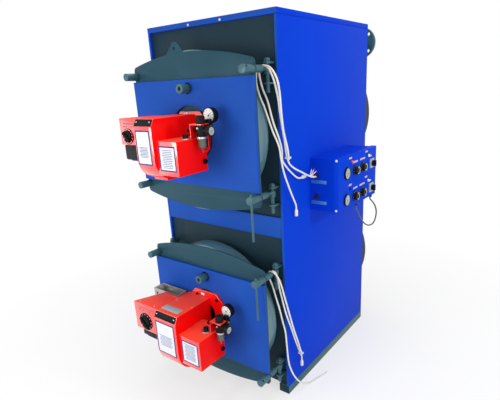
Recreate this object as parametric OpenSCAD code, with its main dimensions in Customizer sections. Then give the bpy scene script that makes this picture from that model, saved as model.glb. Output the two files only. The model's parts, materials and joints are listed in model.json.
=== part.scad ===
// Twin-drum hot-water boiler: two stacked drums in a sheet casing on skids,
// each drum closed by a side-hung door that carries its own oil burner.
// Millimetres, +Z up, doors face -Y. The origin is the middle of the bottom of the bounding box.

/* [Casing] */
// Outer width of the sheet casing
casing_w = 760; // [700:5:900]
// Outer depth of the sheet casing
casing_d = 890; // [700:5:1200]
// Overall height from floor to top cover
casing_h = 1800; // [1760:5:2000]
// Height of the skid tubes
skid_h = 44; // [30:1:80]
// Width of the skid tubes
skid_w = 58; // [30:1:70]
// Wall of the skid tubes
skid_wall = 4; // [2:0.5:8]
// Folded edge width of the side panels
side_t = 14; // [8:1:16]
// Folded edge height of the top cover
top_t = 24; // [15:1:40]
// Rear panel thickness
rear_t = 3; // [1:0.5:8]
// Set-back of the front plate behind the casing edge
plate_recess = 12; // [4:1:20]
// Front plate thickness
plate_t = 8; // [5:1:15]
// Height of the middle band
band_h = 97; // [60:1:110]
// Middle of the band above the mid-height between the drum axes
band_lift = 18; // [0:1:40]

/* [Drums] */
// Clearance from a drum shell to the casing's side
drum_side = 30; // [20:1:60]
// Clearance from the lower drum shell down to the skids
drum_low = 38; // [20:1:80]
// Clearance between the two drum shells
drum_gap = 187; // [150:1:260]
// Clearance from the upper drum shell up to the top of the casing
drum_top = 131; // [100:1:180]
// Radial thickness of the water jacket
jacket_t = 45; // [20:1:48]
// How far the drums stand out behind the casing
drum_out = 120; // [60:1:160]
// Thickness of the rear end discs
end_t = 10; // [6:1:20]
// Step from the drum shell in to the furnace mouth
mouth_step = 50; // [46:1:70]
// Radial thickness of the neck ring round the mouth
neck_t = 18; // [8:1:24]
// Length of the neck ring in front of the front plate
neck_len = 41; // [25:1:55]

/* [Water flange] */
// Outer diameter of the flange
flange_d = 165; // [150:1:180]
// Thickness of the flange
flange_t = 18; // [12:1:24]
// Bolt circle diameter
flange_pcd = 125; // [110:1:130]
// Number of bolt holes
flange_holes = 4; // [4:1:8]
// Bolt hole diameter
flange_hole_d = 18; // [12:1:20]
// Pipe outer radius
pipe_r = 30; // [24:1:36]
// Pipe bore radius
pipe_bore_r = 26; // [18:1:28]
// Distance from rear panel to the flange's near face
pipe_out = 82; // [50:1:100]
// Distance of the pipe axis in from the casing's side
pipe_in = 77; // [70:1:180]
// Distance of the pipe axis below the top of the casing
pipe_drop = 86; // [84:1:100]

/* [Doors] */
// Distance from casing front to the front face of the door plate
door_out = 125; // [110:1:150]
// Door plate thickness
door_t = 6; // [4:1:12]
// Place of the lifting ear left of the upper door's middle
ear_side = 73; // [50:1:100]
// Width of the lifting ear at its foot
ear_w = 96; // [80:1:120]
// Width of the lifting ear at its top
ear_top = 20; // [14:1:30]
// Height of the lifting ear over the door plate
ear_h = 43; // [34:1:50]
// Depth of the lifting ear's foot below the top of the door plate
ear_in = 14; // [12:1:30]
// Radius of the lifting ear's hole
ear_hole_r = 8; // [5:0.5:9]
// Door plate width
door_w = 714; // [690:1:726]
// Door plate height at the crown of the arch
door_h = 688; // [670:1:720]
// Rise of the arched top and bottom edges
arch_rise = 49; // [30:1:60]
// Corner radius of the door plate
door_corner = 25; // [10:1:30]
// Running gap between door drum and neck ring
seal_gap = 5; // [5:0.5:8]
// Distance of the door drum's side in from the door plate's side
ddrum_in = 7; // [4:1:30]
// Rounding of the door drum's rear rim
rim_r = 14; // [4:1:20]
// Distance from the clamp axes to the cover panel's edge
panel_in = 24; // [20:1:40]
// Thickness of the cover panel
panel_t = 14; // [8:1:14]
// Radius of the burner opening in the cover panel
panel_hole_r = 124; // [120:1:140]
// Distance of the sight tube's axis below the cover panel's top
sight_in = 37; // [30:1:60]
// Radius of the sight tube
sight_r = 15; // [12:1:18]
// Radius of the sight tube's front sleeve
sight_collar_r = 20; // [18:1:24]
// Length of the sight tube's front sleeve
sight_collar_l = 42; // [20:1:44]
// Length of the sight tube in front of the door plate
sight_len = 63; // [45:1:80]
// Radius of the sight hole
sight_bore_r = 9; // [6:1:10]

/* [Hinges and clamps] */
// Distance of the pins in from the door plate's side
pin_in = 13; // [8:1:20]
// Distance of the pins in front of the casing
pin_out = 24; // [22:1:32]
// Pin radius
pin_r = 8; // [6:0.5:9]
// Running clearance round a pin, on the radius
pin_fit = 0.05; // [0.02:0.01:0.1]
// Distance of the clamps in from the crown of the door plate
clamp_in = 88; // [84:1:110]
// Pin length above the eye centre
pin_up = 42; // [41:1:50]
// Pin length below the eye centre
pin_down = 93; // [80:1:100]
// Lug thickness
lug_t = 8; // [6:1:10]
// Lug width
lug_w = 32; // [28:1:38]
// Side clearance of a lug from the casing and the band
lug_clear = 4; // [2:1:10]
// Centre of the upper lug above the eye centre
lug_up = 23; // [22:1:25]
// Centre of the lower lug below the eye centre
lug_down = 56; // [40:1:70]
// Outer radius of the eye
eye_r = 14; // [12:0.5:15]
// Height of the eye
eye_h = 18; // [14:1:20]
// Radius of the collar under the eye
collar_r = 13; // [11:0.5:14]
// Height of the collar under the eye
collar_h = 10; // [6:1:14]
// Gap between eye and collar
collar_gap = 0.3; // [0.2:0.1:1]
// Nut width across the corners
nut_d = 28; // [22:1:32]
// Nut height
nut_h = 11; // [8:1:13]
// Radius of the eye-bolt shank
shank_r = 7; // [5:0.5:8]
// Free shank between eye and spacer
shank_free = 30; // [24:1:36]
// Reach of the shank past the rear of the door plate
shank_reach = 25; // [15:1:28]
// Radius of the spacer sleeve behind the door plate
spacer_r = 15; // [14.5:0.5:17]
// Gap between the right spacers and the door plate
spacer_gap = 3; // [2:0.5:5]
// Radius of the clearance hole for a right shank
clamp_bore_r = 13.5; // [13:0.5:14]
// Outer radius of the clamp sleeve
sleeve_r = 17; // [16:0.5:19]
// Length of the clamp sleeve in front of the door plate
sleeve_len = 64; // [55:1:80]
// Depth of the bore in a right clamp sleeve
sleeve_bore_l = 34; // [30:1:36]
// Radius of the tommy bar
bar_r = 5; // [4:0.5:6]
// Length of the tommy bar
bar_len = 205; // [150:1:220]
// Length of the tommy bar above the sleeve axis
bar_up = 26; // [22:1:40]
// Distance of the cross hole from the sleeve's front end
bar_back = 13; // [10:1:16]

/* [Burners] */
// Radius of the blast tube
blast_r = 57; // [45:1:60]
// Wall of the blast tube
blast_wall = 4; // [2:0.5:8]
// Clearance round the blast tube, on the radius
blast_fit = 3; // [1:0.5:8]
// Reach of the blast tube behind the casing front
blast_in = 60; // [20:1:120]
// Reach of the fan housings in front of the cover panels
fan_len = 246; // [220:1:280]
// Top of the fan housings above the drum axis
fan_top = 88; // [75:1:96]
// Underside of the air ducts below the drum axis
duct_down = 62; // [55:1:80]
// Set-back of the sloped display faces
facet_back = 18; // [12:1:30]
// Height of the sloped display faces
facet_drop = 33; // [25:1:45]
// Thickness of the display covers
display_t = 3; // [1:0.5:4]
// Margin round the display covers
display_edge = 4; // [3:1:8]
// Half depth of the foot under a fan scroll
foot_d = 30; // [20:1:40]
// Drop of the foot under a fan scroll
foot_drop = 5; // [3:1:10]
// Set-back of the control boxes behind the fan housing's front
bbox_set = 18; // [12:1:30]
// Depth of the burner control boxes
bbox_d = 141; // [120:1:160]
// Thickness of a burner knob's scale ring
dial_t = 3; // [2:0.5:5]
// Height of a burner knob's round base
bknob_base = 7; // [4:1:10]
// Height of a burner knob's grip bar
grip_h = 8; // [5:1:12]
// Width of a burner knob's grip bar
grip_w = 13; // [8:1:16]
// Distance of a burner knob left of the control box's middle
bknob_side = 6; // [2:1:14]
// Length of a motor's end cap
motor_cap = 34; // [20:1:50]
// Step from a motor's body in to its end cap
motor_step = 3; // [1:0.5:6]
// Reach of a motor's turned corners past its half width
motor_round = 10; // [6:0.5:14]
// Length of the oil tanks
tank_l = 163; // [150:1:180]
// Set-back of the tanks behind the fan housing's front
tank_back = 13; // [5:1:30]
// Top of the oil tanks above the drum axis
tank_top = 1; // [-5:1:8]
// Radius of a tank cap
cap_r = 12; // [9:1:15]
// Height of a tank cap
cap_h = 17; // [10:1:22]
// Radius of the pale washer under a cap
washer_r = 22; // [17:1:26]
// Distance of a tank cap from the tank's right side
cap_in = 45; // [30:1:60]
// Distance of a tank cap behind the tank's front
cap_back = 95; // [80:1:105]
// Radius of a tank drain plug
plug_r = 11; // [8:1:14]
// Distance of a drain plug above the tank's underside
plug_up = 40; // [25:1:60]
// Radius of the tank's return elbow
elbow_r = 7; // [5:0.5:9]
// Length of the tank's return elbow
elbow_l = 26; // [18:1:34]

/* [Upper burner] */
// Half width of the flange
upper_flange_half = 99; // [90:1:104]
// Corner cut of the flange
upper_flange_cut = 40; // [30:1:50]
// Width of the fan housing
upper_fan_w = 108; // [95:1:120]
// Right face of the fan housing from the drum axis
upper_fan_right = 28; // [20:1:36]
// Radius of the fan scroll
upper_scroll_r = 85; // [78:1:92]
// Depth of the fan scroll's centre below the drum axis
upper_scroll_down = 78; // [70:1:86]
// Width of the control box's front
upper_bbox_w = 113; // [100:1:125]
// Height of the control box
upper_bbox_h = 110; // [104:1:114]
// Inward slant of the control box's left side
upper_bbox_in = 46; // [20:1:60]
// Radius of the knob's scale ring
upper_dial_r = 33; // [28:1:34]
// Radius of the knob
upper_bknob_r = 24; // [18:1:26]
// Centre of the knob below the control box's top
upper_bknob_down = 74; // [68:1:76]
// Motor length
upper_motor_len = 142; // [120:1:165]
// Depth of the motor's axis below the drum axis
upper_motor_down = 61; // [58:1:66]
// Clearance from the motor up to the control box
upper_motor_gap = 2; // [1:0.5:6]
// Width of the oil tank
upper_tank_w = 121; // [105:1:135]
// Height of the oil tank
upper_tank_h = 137; // [120:1:150]

/* [Lower burner] */
// Half width of the flange
lower_flange_half = 117; // [105:1:125]
// Corner cut of the flange
lower_flange_cut = 45; // [30:1:55]
// Thickness of the flange on the cover panel
lower_flange_t = 10; // [6:1:16]
// Width of the fan housing
lower_fan_w = 144; // [130:1:160]
// Right face of the fan housing from the drum axis
lower_fan_right = 26; // [18:1:34]
// Radius of the fan scroll
lower_scroll_r = 112; // [100:1:116]
// Depth of the fan scroll's centre below the drum axis
lower_scroll_down = 106; // [98:1:112]
// Width of the control box's front
lower_bbox_w = 167; // [150:1:180]
// Height of the control box
lower_bbox_h = 146; // [142:1:150]
// Inward slant of the control box's left side
lower_bbox_in = 64; // [30:1:75]
// Radius of the knob's scale ring
lower_dial_r = 45; // [38:1:47]
// Radius of the knob
lower_bknob_r = 33; // [26:1:36]
// Centre of the knob below the control box's top
lower_bknob_down = 94; // [88:1:97]
// Motor length
lower_motor_len = 197; // [170:1:215]
// Depth of the motor's axis below the drum axis
lower_motor_down = 106; // [100:1:110]
// Clearance from the motor up to the control box
lower_motor_gap = 4; // [3:1:12]
// Width of the oil tank
lower_tank_w = 131; // [115:1:145]
// Height of the oil tank
lower_tank_h = 150; // [130:1:165]

/* [Filter regulator] */
// Sideways gap from the tank to the regulator axis
reg_side = 27; // [25:1:32]
// Distance of the regulator axis in front of the burner flange
reg_out = 118; // [105:1:130]
// Radius of the regulator body
reg_r = 20; // [17:1:22]
// Underside of the bracket above the tank top
bracket_up = 55; // [50:1:62]
// Bracket sheet thickness
bracket_t = 4; // [2:0.5:6]
// Bracket width
bracket_w = 44; // [42:1:50]
// Height of the regulator body
reg_h = 46; // [38:1:48]
// Radius of the threaded neck
neck_thread_r = 12; // [9:0.5:14]
// Radius of the regulator knob
rknob_r = 18; // [14:0.5:20]
// Height of the regulator knob
rknob_h = 32; // [24:1:36]
// Radius of the filter bowl
bowl_r = 17; // [14:0.5:19]
// Length of the filter bowl
bowl_l = 46; // [38:1:54]
// Length of the bowl's drain nipple
drain_l = 16; // [8:1:20]
// Radius of the large gauge
gauge_r = 31.5; // [26:0.5:34]
// Thickness of the large gauge
gauge_t = 26; // [18:1:30]
// Distance of the large gauge behind the regulator axis
gauge_back = 60; // [56:1:70]
// Height of the large gauge above the drum axis
gauge_up = 88; // [84:1:96]
// Radius of the small gauge
small_gauge_r = 20; // [16:0.5:22]
// Thickness of the small gauge
small_gauge_t = 22; // [16:1:26]
// Bezel width of the gauges and thermometers
bezel_w = 3.5; // [2:0.5:5]
// Depth of the dial faces behind their bezels
dial_in = 2; // [1:0.5:4]
// Length of the gauge stems
stem_l = 14; // [10:1:20]
// Radius of the regulator's port bosses
port_r = 11; // [9:0.5:13]
// Reach of the port bosses past the regulator body
port_out = 5; // [3:1:8]
// Size of the valve block beside the regulator
valve_w = 28; // [20:1:32]
// Radius of the gauge stems and the hose connector
stem_r = 6; // [5:0.5:8]
// Clearance round the hose connector in the bracket, on the radius
hose_fit = 1; // [0.5:0.5:2]
// Length of the hose connector
hose_l = 50; // [30:1:55]

/* [Tray] */
// Depth of the stainless tray
tray_d = 62; // [50:1:70]
// Height of the stainless tray
tray_h = 52; // [40:1:60]
// Sheet thickness of the stainless tray
tray_t = 2; // [1:0.5:4]
// Rise of the tray above the burner control box
tray_up = 8; // [0:1:16]
// Overhang of the tray past the control box
tray_over = 12; // [2:1:30]
// Radius of the hole in the tray's front
tray_hole_r = 7; // [4:0.5:9]

/* [Control box] */
// Depth of the control box out from the casing
box_d = 152; // [120:1:180]
// Length of the control box
box_l = 442; // [420:1:480]
// Height of the control box
box_h = 259; // [250:1:280]
// Distance of the control box from the casing front
box_y = 238; // [200:1:260]
// Underside of the control box above the floor
box_z = 919; // [900:1:940]
// Sheet thickness of the control box lid
lid_t = 3; // [1:0.5:5]
// Depth of the control box lid's folded rim
lid_rim = 30; // [24:1:40]
// Height of the upper row of controls above the box's underside
row_hi = 178; // [170:1:185]
// Height of the lower row of controls above the box's underside
row_lo = 48; // [42:1:55]
// Thermometer place along the box
thermo_y = 84; // [70:1:95]
// Thermometer radius
thermo_r = 29; // [24:0.5:32]
// Thermometer bezel height
thermo_h = 8; // [5:1:12]
// First thermostat knob place along the box
knob_y = 176; // [165:1:185]
// Pitch of the thermostat knobs
knob_pitch = 88; // [82:1:95]
// Thermostat knob radius
knob_r = 25; // [20:0.5:27]
// Thermostat knob height
knob_h = 20; // [14:1:26]
// Height of a thermostat knob's skirt
skirt_h = 5; // [3:1:8]
// Step in radius from a knob's skirt to its grip
skirt_step = 4; // [2:0.5:6]
// Selector switch place along the box
switch_y = 377; // [365:1:385]
// Selector switch plate size
switch_w = 48; // [42:1:52]
// Selector switch plate thickness
switch_t = 7; // [4:1:10]
// Selector switch knob radius
switch_r = 15; // [12:0.5:18]
// Selector switch knob height
switch_h = 20; // [14:1:24]
// Height of a selector switch's round base
switch_base = 8; // [5:1:11]
// Width of a selector switch's handle
handle_w = 11; // [8:1:14]
// Height of the lamps above their row
lamp_up = 46; // [45:1:52]
// Lamp radius
lamp_r = 9; // [6:0.5:11]
// Lamp height
lamp_h = 9; // [6:1:14]
// Height of a lamp's bezel
lamp_rim = 3; // [2:0.5:4]
// First lamp place along the box
lamp_y = 136; // [125:1:150]
// Second lamp place along the box
lamp_y2 = 334; // [330:1:340]
// Cable grommet radius
grommet_r = 10; // [8:0.5:13]
// Cable grommet length
grommet_l = 10; // [6:1:14]
// Underside gland radius
gland_r = 10; // [8:0.5:13]
// Underside gland length
gland_l = 14; // [8:1:20]

/* [Hidden] */
$fn = 64;

// Paint and material colours
C_BLUE = [0.05, 0.25, 0.80];
C_TEAL = [0.16, 0.32, 0.38];
C_DARK = [0.14, 0.18, 0.22];
C_RED = [0.90, 0.08, 0.08];
C_BLACK = [0.06, 0.06, 0.07];
C_STEEL = [0.72, 0.73, 0.74];
C_GREY = [0.55, 0.58, 0.60];
C_WHITE = [0.92, 0.92, 0.90];

// Planes along Y, measured from the casing front
half_w = casing_w / 2;
inner_x = half_w - side_t;
drum_r = min(half_w - drum_side, (casing_h - skid_h - drum_low - drum_gap - drum_top) / 4);
lower_z = skid_h + drum_low + drum_r;
upper_z = casing_h - drum_top - drum_r;
mouth_r = drum_r - mouth_step;
neck_r = mouth_r + neck_t;
band_z = (lower_z + upper_z - band_h) / 2 + band_lift;
pipe_x = half_w - pipe_in;
pipe_z = casing_h - pipe_drop;
ddrum_r = door_w / 2 - ddrum_in;
pin_x = door_w / 2 - pin_in;
lug_x = min(pin_x, inner_x - lug_w / 2 - lug_clear);
clamp_up = door_h / 2 - clamp_in;
panel_h = 2 * (clamp_up - panel_in);
sight_up = panel_h / 2 - sight_in;
front_back = plate_recess + plate_t;
neck_y = plate_recess - neck_len;
drum_end_y = casing_d + drum_out;
dplate_front = -door_out;
dplate_back = door_t - door_out;
ddrum_back = neck_y - seal_gap;
panel_front = dplate_front - panel_t;
fan_front = panel_front - fan_len;
bbox_front = fan_front + bbox_set;
bbox_back = bbox_front + bbox_d;
bknob_h = dial_t + bknob_base + grip_h;
tank_front = fan_front + tank_back;
reg_y = panel_front - reg_out;
bracket_z = tank_top + bracket_up;
port_z = bracket_z - reg_h / 2;
box_out = half_w + box_d;
shank_tip = dplate_back - shank_reach;
spacer_back = -pin_out - eye_r - shank_free;
bar_y = dplate_front - sleeve_len + bar_back;
top_z = casing_h - top_t;
arch_r = (door_w * door_w / 4 + arch_rise * arch_rise) / (2 * arch_rise);
facet_l = sqrt(facet_back * facet_back + facet_drop * facet_drop);
facet_a = atan2(facet_drop, facet_back);

// Sizes that differ between the burners, as [upper, lower]
UPPER = 0;
LOWER = 1;
drum_z = [upper_z, lower_z];
flange_half = [upper_flange_half, lower_flange_half];
flange_cut = [upper_flange_cut, lower_flange_cut];
flange_rear = [dplate_front, panel_front];
fan_back = [panel_front, panel_front - lower_flange_t];
fan_w = [upper_fan_w, lower_fan_w];
fan_right = [upper_fan_right, lower_fan_right];
fan_left = fan_right - fan_w;
scroll_r = [upper_scroll_r, lower_scroll_r];
scroll_down = [upper_scroll_down, lower_scroll_down];
bbox_w = [upper_bbox_w, lower_bbox_w];
bbox_h = [upper_bbox_h, lower_bbox_h];
bbox_in = [upper_bbox_in, lower_bbox_in];
bbox_left = fan_left - bbox_w;
dial_r = [upper_dial_r, lower_dial_r];
bknob_r = [upper_bknob_r, lower_bknob_r];
bknob_down = [upper_bknob_down, lower_bknob_down];
motor_len = [upper_motor_len, lower_motor_len];
motor_down = [upper_motor_down, lower_motor_down];
motor_gap = [upper_motor_gap, lower_motor_gap];
motor_half = motor_down - bbox_h - motor_gap + [fan_top, fan_top];
tank_w = [upper_tank_w, lower_tank_w];
tank_h = [upper_tank_h, lower_tank_h];
tank_right = fan_right + tank_w;
reg_x = tank_right + [reg_side, reg_side];

// Bounding box of the rigid pieces, for the origin
x_lo = min(-half_w, min(bbox_left), min(fan_left - motor_len));
x_hi = box_out + max(switch_t + switch_h, knob_h, thermo_h, lamp_h);
y_lo = min(fan_front, bbox_front - bknob_h);
y_hi = max(drum_end_y, casing_d + pipe_out + flange_t);
shift = [-(x_lo + x_hi) / 2, -(y_lo + y_hi) / 2, 0];

// Cable routes, from the casing's front middle at floor level
cable_r = 4;
cable_sides = 8;
upper_a_route = [[417, 227.7, 1092], [417, 214, 1092], [415.5, 190, 1098], [412, 150, 1116], [407, 106, 1138],
    [403, 64, 1160], [401, 32, 1184], [400, 14, 1216], [399, 0, 1290], [398, -22, 1390], [399, -36, 1460],
    [390, -46, 1525], [378, -48, 1556], [366, -48, 1575], [356, -48, 1583.3], [344, -48, 1586.4],
    [332, -48, 1583.3], [323, -48, 1574], [320, -48, 1556], [325, -48, 1528], [335, -48, 1495],
    [355, -47, 1450], [375, -42, 1366], [389, -28, 1306], [394, -14, 1250], [391, -8, 1206], [394, 20, 1170],
    [393, 66, 1134], [393, 104, 1109], [393, 126, 1102], [393, 139.7, 1102]];
upper_b_route = [[410, 14, 1206], [409, 8, 1250], [406, -14, 1328], [407, -28, 1405], [412, -42, 1478],
    [409, -52, 1530], [398, -57, 1558], [384, -58, 1575], [366, -58, 1584], [356, -58, 1586], [344, -58, 1586.4],
    [332, -58, 1583.3], [320, -58, 1574], [313, -58, 1556], [311, -58, 1525], [326, -58, 1468],
    [340, -57, 1438], [353, -56, 1404], [375, -48, 1330], [393, -34, 1270], [397, -26, 1215],
    [401, -16, 1160], [404, 14, 1090], [402, 56, 1020], [400, 75, 992], [400, 78, 982], [400, 78, 970.3]];
lower_a_route = [[344, -48, 699.4], [356, -48, 696.3], [364, -48, 686], [369, -47, 668], [375, -44, 620],
    [385, -38, 560], [394, -24, 480], [399, 4, 400], [402, 40, 300], [403, 76, 214], [403, 90, 184],
    [403, 92, 174], [403, 92, 160.3]];
lower_b_route = [[413, 74, 214], [412, 52, 280], [409, 16, 380], [405, -10, 470], [398, -36, 570],
    [390, -50, 640], [380, -57, 676], [366, -58, 692], [356, -58, 697.8], [344, -58, 699.4], [332, -58, 696.3],
    [325, -58, 686], [326, -58, 672], [335, -57, 652], [347, -56, 622], [361, -54, 570], [374, -46, 505],
    [380, -37, 448], [390, -30, 386], [394, -26, 300], [398, -18, 200], [408, 14, 110], [416, 62, 46],
    [428, 116, 12], [444, 180, 6], [464, 252, 6]];
loop_route = [[517, 462, 904.7], [517, 464, 892], [517, 472, 880], [517, 486, 864], [517, 502, 843],
    [517, 530, 814], [517, 566, 782], [517, 612, 754], [517, 660, 738], [517, 708, 737], [517, 738, 757],
    [517, 748, 792], [517, 732, 826], [517, 704, 854], [517, 668, 880], [517, 651, 892], [517, 648, 904.7]];
plug_len = 34;
cplug_r = 8;
end_gap = 0.3;
gland_x = box_out - lid_rim / 2;
gland_y = [462, 648];
grommet_at = [417, 1092];
grommet_low = 991;

// Sweep of a round tube through the points of a route
function end_of(p) = p[len(p) - 1];
function unit(v) = v / norm(v);
function tangent(p, i) = let (n = len(p) - 1) unit(p[min(i + 1, n)] - p[max(i - 1, 0)]);
function side_of(t) = unit(cross(t, abs(t[1]) < 0.8 ? [0, 1, 0] : [1, 0, 0]));
function frames(p, i = 0, s = undef) =
    let (t = tangent(p, i))
    let (raw = s == undef ? side_of(t) : s - (s * t) * t)
    let (a = unit(raw))
    i == len(p) - 1 ? [[a, cross(t, a)]] : concat([[a, cross(t, a)]], frames(p, i + 1, a));

module tube(p, r, n) {
    f = frames(p);
    pts = [for (i = [0 : len(p) - 1], k = [0 : n - 1])
        p[i] + r * (cos(360 * k / n) * f[i][0] + sin(360 * k / n) * f[i][1])];
    last = (len(p) - 1) * n;
    walls = [for (i = [0 : len(p) - 2], k = [0 : n - 1])
        [i * n + k, i * n + (k + 1) % n, (i + 1) * n + (k + 1) % n, (i + 1) * n + k]];
    caps = [[for (k = [n - 1 : -1 : 0]) k], [for (k = [0 : n - 1]) last + k]];
    polyhedron(points = pts, faces = concat(walls, caps), convexity = 10);
}

module span(a, b) {
    translate(a) cube(b - a);
}

module ycyl(r, y0, y1) {
    translate([0, y0, 0]) rotate([-90, 0, 0]) cylinder(r = r, h = y1 - y0);
}

module xcyl(r, x0, x1) {
    translate([x0, 0, 0]) rotate([0, 90, 0]) cylinder(r = r, h = x1 - x0);
}

module place() {
    translate(shift) children();
}

module each_drum() {
    for (z = [lower_z, upper_z]) translate([0, 0, z]) children();
}

module each_clamp(side) {
    for (s = [-1, 1]) translate([side * pin_x, 0, s * clamp_up]) children();
}

// Casing
module skids() {
    color(C_DARK) place() for (s = [-1, 1])
        difference() {
            span([s > 0 ? half_w - skid_w : -half_w, 0, 0], [s > 0 ? half_w : skid_w - half_w, casing_d, skid_h]);
            span([s > 0 ? half_w - skid_w + skid_wall : skid_wall - half_w, skid_wall, skid_wall],
                 [s > 0 ? half_w - skid_wall : skid_w - skid_wall - half_w, casing_d + 1, skid_h - skid_wall]);
        }
}

module left_panel() {
    color(C_BLUE) place() span([-half_w, 0, skid_h], [-inner_x, casing_d, top_z]);
}

module right_panel() {
    color(C_BLUE) place() span([inner_x, 0, skid_h], [half_w, casing_d, top_z]);
}

module rear_panel() {
    color(C_BLUE) place() difference() {
        span([-inner_x, casing_d - rear_t, skid_h], [inner_x, casing_d, top_z]);
        each_drum() ycyl(drum_r + 0.5, casing_d - rear_t - 1, casing_d + 1);
        translate([pipe_x, 0, pipe_z]) ycyl(pipe_r + 0.5, casing_d - rear_t - 1, casing_d + 1);
    }
}

module top_cover() {
    color(C_BLUE) place() span([-half_w, 0, top_z], [half_w, casing_d, casing_h]);
}

module front_plate() {
    color(C_DARK) place() difference() {
        union() {
            span([-inner_x, plate_recess, skid_h], [inner_x, front_back, top_z]);
            each_drum() ycyl(neck_r, neck_y, front_back);
        }
        each_drum() ycyl(mouth_r, neck_y - 1, front_back + 1);
    }
}

module middle_band() {
    color(C_BLUE) place() difference() {
        span([-inner_x, 0, band_z], [inner_x, plate_recess, band_z + band_h]);
        lug_notches();
    }
}

// Drums
module drum(z) {
    color(C_DARK) place() translate([0, 0, z]) difference() {
        ycyl(drum_r, front_back, drum_end_y - end_t);
        ycyl(drum_r - jacket_t, front_back - 1, drum_end_y);
    }
}

module upper_drum() {
    drum(upper_z);
}

module lower_drum() {
    drum(lower_z);
}

module rear_ends() {
    color(C_TEAL) place() each_drum() ycyl(drum_r, drum_end_y - end_t, drum_end_y);
}

module water_flange() {
    color(C_TEAL) place() translate([pipe_x, 0, pipe_z]) difference() {
        union() {
            ycyl(pipe_r, casing_d - rear_t, casing_d + pipe_out + flange_t);
            ycyl(flange_d / 2, casing_d + pipe_out, casing_d + pipe_out + flange_t);
        }
        ycyl(pipe_bore_r, casing_d - rear_t - 1, casing_d + pipe_out + flange_t + 1);
        for (i = [0 : flange_holes - 1])
            rotate([0, 180 / flange_holes + 360 * i / flange_holes, 0]) translate([flange_pcd / 2, 0, 0])
                ycyl(flange_hole_d / 2, casing_d + pipe_out - 1, casing_d + pipe_out + flange_t + 1);
    }
}

// Hinges and clamps
module lug(z, root) {
    difference() {
        union() {
            span([min(0, root) - lug_w / 2, -pin_out, z - lug_t / 2], [max(0, root) + lug_w / 2, -lug_clear, z + lug_t / 2]);
            span([root - lug_w / 2, -pin_out, z - lug_t / 2], [root + lug_w / 2, plate_recess, z + lug_t / 2]);
            translate([0, -pin_out, z - lug_t / 2]) cylinder(r = lug_w / 2, h = lug_t);
        }
        translate([0, -pin_out, z - lug_t]) cylinder(r = pin_r + pin_fit, h = 2 * lug_t);
    }
}

module hinge_lugs() {
    color(C_TEAL) place() each_drum() for (s = [-1, 1]) each_clamp(s) {
        lug(lug_up, s * (lug_x - pin_x));
        lug(-lug_down, s * (lug_x - pin_x));
    }
}

module lug_notches() {
    w = lug_w / 2 + lug_clear;
    h = lug_t / 2 + lug_clear;
    each_drum() for (s = [-1, 1]) each_clamp(s) translate([s * (lug_x - pin_x), 0, 0])
        for (z = [lug_up, -lug_down]) span([-w, -1, z - h], [w, plate_recess + 1, z + h]);
}

module pin() {
    lug_top = lug_up + lug_t / 2;
    collar_top = -eye_h / 2 - collar_gap;
    translate([0, -pin_out, 0]) {
        translate([0, 0, -pin_down]) cylinder(r = pin_r, h = pin_up + pin_down);
        translate([0, 0, lug_top]) cylinder(r = nut_d / 2, h = nut_h, $fn = 6);
        translate([0, 0, collar_top - collar_h]) cylinder(r = collar_r, h = collar_h);
    }
}

module hinge_pins() {
    color(C_TEAL) place() each_drum() for (s = [-1, 1]) each_clamp(s) pin();
}

module eyebolt(tip, spacer_front) {
    difference() {
        union() {
            translate([0, -pin_out, -eye_h / 2]) cylinder(r = eye_r, h = eye_h);
            ycyl(shank_r, tip, -pin_out);
            ycyl(spacer_r, spacer_front, spacer_back);
        }
        translate([0, -pin_out, -eye_h]) cylinder(r = pin_r + pin_fit, h = 2 * eye_h);
    }
}

module clamp_eyebolts() {
    color(C_TEAL) place() each_drum() each_clamp(1) eyebolt(shank_tip, dplate_back + spacer_gap);
}

module sleeve() {
    difference() {
        ycyl(sleeve_r, dplate_front - sleeve_len, dplate_front);
        translate([0, bar_y, -2 * sleeve_r]) cylinder(r = bar_r, h = 4 * sleeve_r);
    }
}

module tommy_bar() {
    translate([0, bar_y, bar_up - bar_len]) cylinder(r = bar_r, h = bar_len);
}

module clamps(z, bar_side) {
    color(C_TEAL) place() translate([0, 0, z]) {
        each_clamp(-1) union() {
            eyebolt(dplate_front - sleeve_bore_l, dplate_back);
            sleeve();
        }
        each_clamp(1) difference() {
            sleeve();
            ycyl(clamp_bore_r, dplate_front - sleeve_bore_l, dplate_front + 1);
        }
        translate([pin_x, 0, bar_side * clamp_up]) tommy_bar();
    }
}

module upper_clamps() {
    clamps(upper_z, -1);
}

module lower_clamps() {
    clamps(lower_z, 1);
}

// Doors
module lifting_ear() {
    foot = ear_w / 2 + ear_in * (ear_w - ear_top) / 2 / ear_h;
    translate([-ear_side, dplate_back, door_h / 2]) rotate([90, 0, 0]) linear_extrude(door_t) difference() {
        polygon([[-foot, -ear_in], [foot, -ear_in], [ear_top / 2, ear_h], [-ear_top / 2, ear_h]]);
        translate([0, ear_h / 2 - 4]) circle(ear_hole_r);
    }
}

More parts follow.
